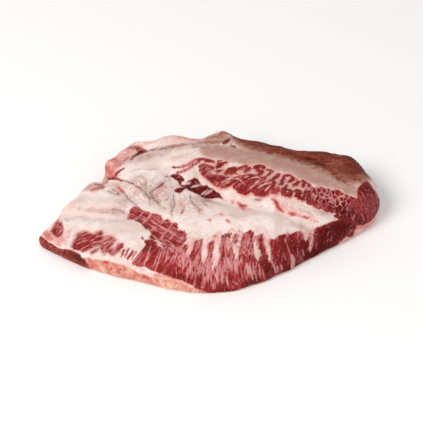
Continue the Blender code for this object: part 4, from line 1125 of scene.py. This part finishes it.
def uneven(tree, base, noises, **reaches):  # a value, or the field of that name, with named noises on it
    if isinstance(base, str):
        base = field(tree, base)
    return plus(tree, base, *(centred(tree, noises[name], reach) for name, reach in reaches.items()))


def mixed(tree, values, **weights):
    return plus(tree, *(times(tree, values[name], weight) for name, weight in weights.items()))


def fieldSum(tree, **weights):
    return mixed(tree, {name: field(tree, name) for name in weights}, **weights)


def hairlines(tree, space, name):  # thin wandering lines
    scale, width, shift = hairNets[name]
    line = cloud(tree, scaled(tree, space, shift=(shift, shift * 1.3, shift * 0.6)), scale, 4, 0.62)
    return ramped(tree, calc(tree, "ABSOLUTE", centred(tree, line, 1.0)), 0, width, 1, 0)


def grainCoordinates(tree, place):  # the space in which one cell of the coarse grain is one unit
    bent = warped(tree, place, 1 / grainCell["warpSpan"], (grainCell["warp"], grainCell["warp"], 0))
    straight = scaled(tree, place, (1 / grainCell["across"], 1 / grainCell["along"], 0))
    return vectorMath(tree, "ADD", straight, bent)


def raiseGrain(piece):  # the knobs of the coarse grain stand up as shape, in step with their colour
    tree = bpy.data.node_groups.new("raisedGrain", "GeometryNodeTree")
    for way in ("INPUT", "OUTPUT"):
        tree.interface.new_socket("Geometry", in_out=way, socket_type="NodeSocketGeometry")
    entry, leave = tree.nodes.new("NodeGroupInput"), tree.nodes.new("NodeGroupOutput")

    def stored(name, kind="FLOAT"):
        node = tree.nodes.new("GeometryNodeInputNamedAttribute")
        node.data_type = kind
        node.inputs["Name"].default_value = name
        return node.outputs["Attribute"]

    knob = stepped(tree, "knob", cells(tree, grainCoordinates(tree, stored("fibrePlace", "FLOAT_VECTOR"))))
    inside = stepped(tree, "knobShare", stored("leanEdge"))
    where = calc(tree, "MAXIMUM", stored("grained"), times(tree, stored("lobed"), grainCell["lobedShare"]))
    offset = tree.nodes.new("ShaderNodeVectorMath")
    offset.operation = "SCALE"
    tree.links.new(tree.nodes.new("GeometryNodeInputNormal").outputs[0], offset.inputs[0])
    tree.links.new(times(tree, knob, where, inside, brisketLook["knobDepth"] / 1000), offset.inputs["Scale"])
    mover = tree.nodes.new("GeometryNodeSetPosition")
    tree.links.new(entry.outputs[0], mover.inputs["Geometry"])
    tree.links.new(offset.outputs[0], mover.inputs["Offset"])
    tree.links.new(mover.outputs["Geometry"], leave.inputs[0])
    grain = piece.modifiers.new("raisedGrain", "NODES")
    grain.node_group = tree
    bpy.ops.object.select_all(action="DESELECT")
    piece.select_set(True)
    bpy.context.view_layer.objects.active = piece
    bpy.ops.object.modifier_apply(modifier="raisedGrain")


def fatColour(tree, space):  # the fat's colour, and the painted shade line along its creases
    noises = meatNoiseTable(tree, space, "wide", "middle", "fine", "yellow", "blush", "speck")
    wrinkled, pleat = field(tree, "wrinkled"), field(tree, "pleat")
    tone = uneven(tree, noises["wide"], noises, middle=0.40, fine=0.12)
    colour = tinted(tree, "fatBright", tone, meatTints["fatCream"])
    colour = tinted(tree, "fatYellow", noises["yellow"], colour)
    tanAndShade = uneven(tree, "tanAndShade", noises, middle=0.60, fine=0.20)
    # painted light: where the white spots take the field below zero the fat goes whiter
    colour = tinted(tree, "fatLitWhite", tanAndShade, colour)
    # painted shade: the puckered fat goes grey, most in the pleat hollows that the relief sinks
    foldShade = plus(tree, uneven(tree, noises["middle"], noises, fine=0.2), times(tree, pleat, 0.30))
    foldShaded = times(tree, stepped(tree, "fatShadeGrey", foldShade), wrinkled)
    colour = blended(tree, foldShaded, colour, meatTints["fatShadeGrey"])
    # tan fat and painted shade
    colour = blended(tree, stepped(tree, "tanAndShade", tanAndShade), colour,
                     tinted(tree, "fatTanRed", noises["middle"], meatTints["fatTanAndShade"]))
    pink = plus(tree, uneven(tree, "pink", noises, blush=1.0, fine=0.4),
                times(tree, wrinkled, plus(tree, 0.10, times(tree, pleat, 0.55))))
    colour = tinted(tree, "fatPink", pink, colour)
    colour = tinted(tree, "fatSalmon", pink, colour)
    colour = tinted(tree, "grainGround", uneven(tree, "ground", noises, fine=0.9, middle=0.4), colour)
    colour = tinted(tree, "fatBrown", uneven(tree, "brown", noises, fine=1.1, middle=0.6), colour)
    lines = calc(tree, "MAXIMUM", hairlines(tree, space, "vein"), hairlines(tree, space, "fineVein"))
    colour = blended(tree, times(tree, lines, stepped(tree, "veined", wrinkled)), colour, meatTints["vein"])
    specks = times(tree, stepped(tree, "speck", noises["speck"]), stepped(tree, "specked", wrinkled))
    colour = blended(tree, specks, colour, meatTints["speck"])
    crease = calc(tree, "ABSOLUTE", uneven(tree, "creaseEdge", noises, fine=2.2, middle=2.0))
    depth = field(tree, "creaseDepth")
    shadow = times(tree, stepped(tree, "creaseShadow", crease), depth)
    colour = blended(tree, shadow, colour, meatTints["vein"])
    # painted shade: a dark broken line along the bottom of each crease
    line = times(tree, stepped(tree, "creaseShadeLine", crease), stepped(tree, "broken", noises["middle"]),
                 calc(tree, "POWER", depth, 0.6))
    return blended(tree, line, colour, meatTints["creaseShadeLine"]), line


def leanColour(tree, space, place):
    noises = {name: fibreNoise(tree, place, name) for name in ("broad", "thin")}
    noises["mottle"] = meatNoise(tree, space, "mottle")
    tone = mixed(tree, noises, broad=0.40, thin=0.40, mottle=0.40)
    colour = tinted(tree, "leanBright", tone, meatTints["leanRed"])
    # deep red lean, and painted shade on the bottom edge
    colour = tinted(tree, "leanDarkAndShade", uneven(tree, "deep", noises, thin=0.8, mottle=0.6), colour)
    # purple lean, and a painted sheen on the end muscle
    colour = tinted(tree, "leanPurpleAndSheen", uneven(tree, "purpleAndSheen", noises, mottle=1.8, thin=1.2), colour)
    colour = tinted(tree, "leanPink", uneven(tree, "pale", noises, broad=0.8, thin=1.4, mottle=0.6), colour)
    # painted shade: the sunken borders between the raised lobes are darkened
    gapShade = stepped(tree, "grainGapShade", cells(tree, grainCoordinates(tree, place)))
    colour = blended(tree, times(tree, gapShade, field(tree, "lobed")), colour, meatTints["leanDarkAndShade"])
    cut = tinted(tree, "cutPink", uneven(tree, noises["thin"], noises, mottle=0.4), meatTints["leanCut"])
    return blended(tree, fieldSum(tree, cutting=0.88), colour, cut)


def fineThreads(tree, place):  # thin lines of fat along the fibres, and hair lines between them
    line, hair = (calc(tree, "ABSOLUTE", centred(tree, fibreNoise(tree, place, name), 1.0))
                  for name in ("line", "hair"))
    more = plus(tree, fibreNoise(tree, place, "gaps"),
                fieldSum(tree, pale=0.20, ended=-0.16, deep=-0.26, cutting=-0.6, ground=-0.12))
    width = stepped(tree, "lineWidth", more)
    hair = stepped(tree, "hair", less(tree, hair, times(tree, width, 0.8)))
    line = stepped(tree, "line", less(tree, line, width))
    return times(tree, calc(tree, "MAXIMUM", line, hair), stepped(tree, "deepLines", field(tree, "deep")))


def grainFat(tree, place):  # fat between the cells of the coarse grain
    here = grainCoordinates(tree, place)
    share = field(tree, "grainFat")
    patches = cloud(tree, place, 0.25)
    width = times(tree, share, stepped(tree, "septumWidth", patches))
    septa = times(tree, stepped(tree, "septum", less(tree, cells(tree, here), width)),
                  stepped(tree, "septumShare", plus(tree, share, centred(tree, patches, 1.6))))
    middles = plus(tree, cells(tree, here, feature="F1"), centred(tree, patches, 0.7))
    corners = stepped(tree, "corners", middles)
    return calc(tree, "MAXIMUM", septa, times(tree, corners, share, 0.8))


def dryColour(tree, space):
    noises = {"run": cloud(tree, scaled(tree, space, dryRun["stretch"], dryRun["shift"]), 1.0, 4, 0.65),
              "spots": meatNoise(tree, space, "drySpots"), "mottle": meatNoise(tree, space, "dryMottle")}
    tone = mixed(tree, noises, run=0.45, spots=0.40, mottle=0.30)
    colour = tinted(tree, "dryBrown", tone, meatTints["dryRed"])
    # dark rind, and painted shade on the shoulder turned from the light
    colour = tinted(tree, "dryDarkAndShade", uneven(tree, "deep", noises, spots=0.9, mottle=0.5), colour)
    colour = tinted(tree, "dryPale", uneven(tree, "pale", noises, run=0.7, mottle=0.8), colour)
    streak = hairlines(tree, scaled(tree, space, dryRun["lineStretch"]), "dryLine")
    return blended(tree, times(tree, streak, 0.30), colour, meatTints["dryPale"])


def capColour(tree, space):
    noises = meatNoiseTable(tree, space, "capMottle", "mottle", "smear", "clots")
    bent = vectorMath(tree, "ADD", space, warped(tree, space, capCell["warpScale"], [capCell["warp"]] * 3))
    lobes = cells(tree, scaled(tree, bent, capCell["stretch"]), capCell["scale"], "F1")
    tone = uneven(tree, lobes, noises, mottle=1.5, capMottle=0.7)
    colour = tinted(tree, "capSalmon", tone, meatTints["capPale"])
    cream = plus(tree, uneven(tree, noises["capMottle"], noises, mottle=0.6), times(tree, lobes, -0.3),
                 fieldSum(tree, pale=0.16, deep=-0.30))
    colour = tinted(tree, "capCream", cream, colour)
    smear = plus(tree, noises["smear"], fieldSum(tree, deep=0.10))
    colour = blended(tree, stepped(tree, "capSmear", smear), colour, meatTints["capRed"])
    colour = blended(tree, stepped(tree, "capClots", noises["clots"]), colour, meatTints["capRed"])
    patches = stepped(tree, "capPlain", noises["capMottle"])
    plain = blended(tree, patches, meatTints["fatCream"], meatTints["capPale"])
    return blended(tree, fieldSum(tree, under=0.75), colour, plain)


def wallColour(tree, space):
    mottle = cloud(tree, scaled(tree, space, wallGrain["stretch"]), wallGrain["scale"], 4, 0.65)
    colour = tinted(tree, "wallBrown", mottle, meatTints["wallRed"])
    return tinted(tree, "wallDark", plus(tree, field(tree, "deep"), centred(tree, mottle, 1.2)), colour)


def meatMaterial():
    material = bpy.data.materials.new("moistBrisket")
    material.use_nodes = True
    tree = material.node_tree
    shader = tree.nodes["Principled BSDF"]
    space = tree.nodes.new("ShaderNodeTexCoord").outputs["Object"]
    place = field(tree, "fibrePlace", "Vector")

    fat, creaseShadeLine = fatColour(tree, space)
    rest = less(tree, 1.0, field(tree, "grained"))
    ragged = centred(tree, meatNoise(tree, space, "ragged"), 1.5)
    drawn = centred(tree, fibreNoise(tree, place, "drawn"), 1.5)
    marbled = leanColour(tree, space, place)
    for fatShare in (times(tree, fineThreads(tree, place), rest),
                     times(tree, grainFat(tree, place), field(tree, "grained"))):
        marbled = blended(tree, fatShare, marbled, meatTints["septum"])
    marbled = tinted(tree, "thread", plus(tree, field(tree, "threadEdge"), times(tree, ragged, 0.6)), marbled)
    # the creases' painted shade line runs on over the lean
    marbled = blended(tree, times(tree, creaseShadeLine, 0.7), marbled, meatTints["creaseShadeLine"])

    drawnShare = less(tree, rest, fieldSum(tree, cutting=0.7))
    leanEdge = times(tree, plus(tree, field(tree, "leanEdge"), ragged, times(tree, drawn, drawnShare)),
                     field(tree, "feather"))
    leanMask = stepped(tree, "leanMask", leanEdge)
    colour = blended(tree, stepped(tree, "halo", leanEdge), fat, meatTints["fatPink"])
    colour = blended(tree, leanMask, colour, marbled)

    edgeNoises = {"rough": centred(tree, meatNoise(tree, space, "rough"), 5.0), "ragged": ragged}

    def edged(name, **weights):  # where a finish covers the one below it
        wandering = plus(tree, field(tree, name + "Edge"), mixed(tree, edgeNoises, **weights))
        return stepped(tree, name + "Mask", wandering)

    dryMask = edged("dry", rough=1, ragged=1)
    wallMask = edged("wall", rough=0.2, ragged=0.8)
    colour = blended(tree, dryMask, colour, dryColour(tree, space))
    colour = blended(tree, edged("cap", rough=0.3, ragged=0.5), colour, capColour(tree, space))
    colour = blended(tree, wallMask, colour, wallColour(tree, space))
    colour = blended(tree, edged("nub", rough=0.2), colour, meatTints["nubRed"])
    colour = blended(tree, edged("red", ragged=1), colour, meatTints["redSpot"])
    tree.links.new(colour, shader.inputs["Base Color"])

    heights = meatNoiseTable(tree, space, "pebbles", "swells")
    heights["ridges"] = fibreNoise(tree, place, "ridges")
    bump = tree.nodes.new("ShaderNodeBump")
    bump.inputs["Strength"].default_value = meatShine["bumpStrength"]
    bump.inputs["Distance"].default_value = meatShine["bumpDistance"]
    tree.links.new(mixed(tree, heights, pebbles=0.45, ridges=0.5, swells=0.6), bump.inputs["Height"])
    tree.links.new(bump.outputs[0], shader.inputs["Normal"])
    gloss = plus(tree, stepped(tree, "roughness", meatNoise(tree, space, "wet")),
                 times(tree, dryMask, meatShine["dryRougher"]))
    tree.links.new(gloss, shader.inputs["Roughness"])
    dull = calc(tree, "MAXIMUM", dryMask, wallMask)
    dull = calc(tree, "MAXIMUM", dull, times(tree, leanMask, meatShine["leanDull"]))
    tree.links.new(times(tree, less(tree, 1.0, dull), meatShine["coat"]), shader.inputs["Coat Weight"])
    for socket, name in (("Coat Roughness", "coatRoughness"), ("Specular IOR Level", "specular"),
                         ("Subsurface Weight", "subsurface"), ("Subsurface Radius", "subsurfaceRadius"),
                         ("Subsurface Scale", "subsurfaceScale")):
        shader.inputs[socket].default_value = meatShine[name]
    return material


brisket = makeBrisket()
print("brisket mesh:", len(brisket.data.vertices), "points,",
      sum(len(face.vertices) - 2 for face in brisket.data.polygons), "triangles")
dressBrisket(brisket)
print("muscles, creases and relief are on the brisket")
raiseGrain(brisket)
keepInBox(brisket.data)
brisket.data.materials.clear()
brisket.data.materials.append(meatMaterial())
print("material is made")
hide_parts("brisket")
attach(brisket, "root")
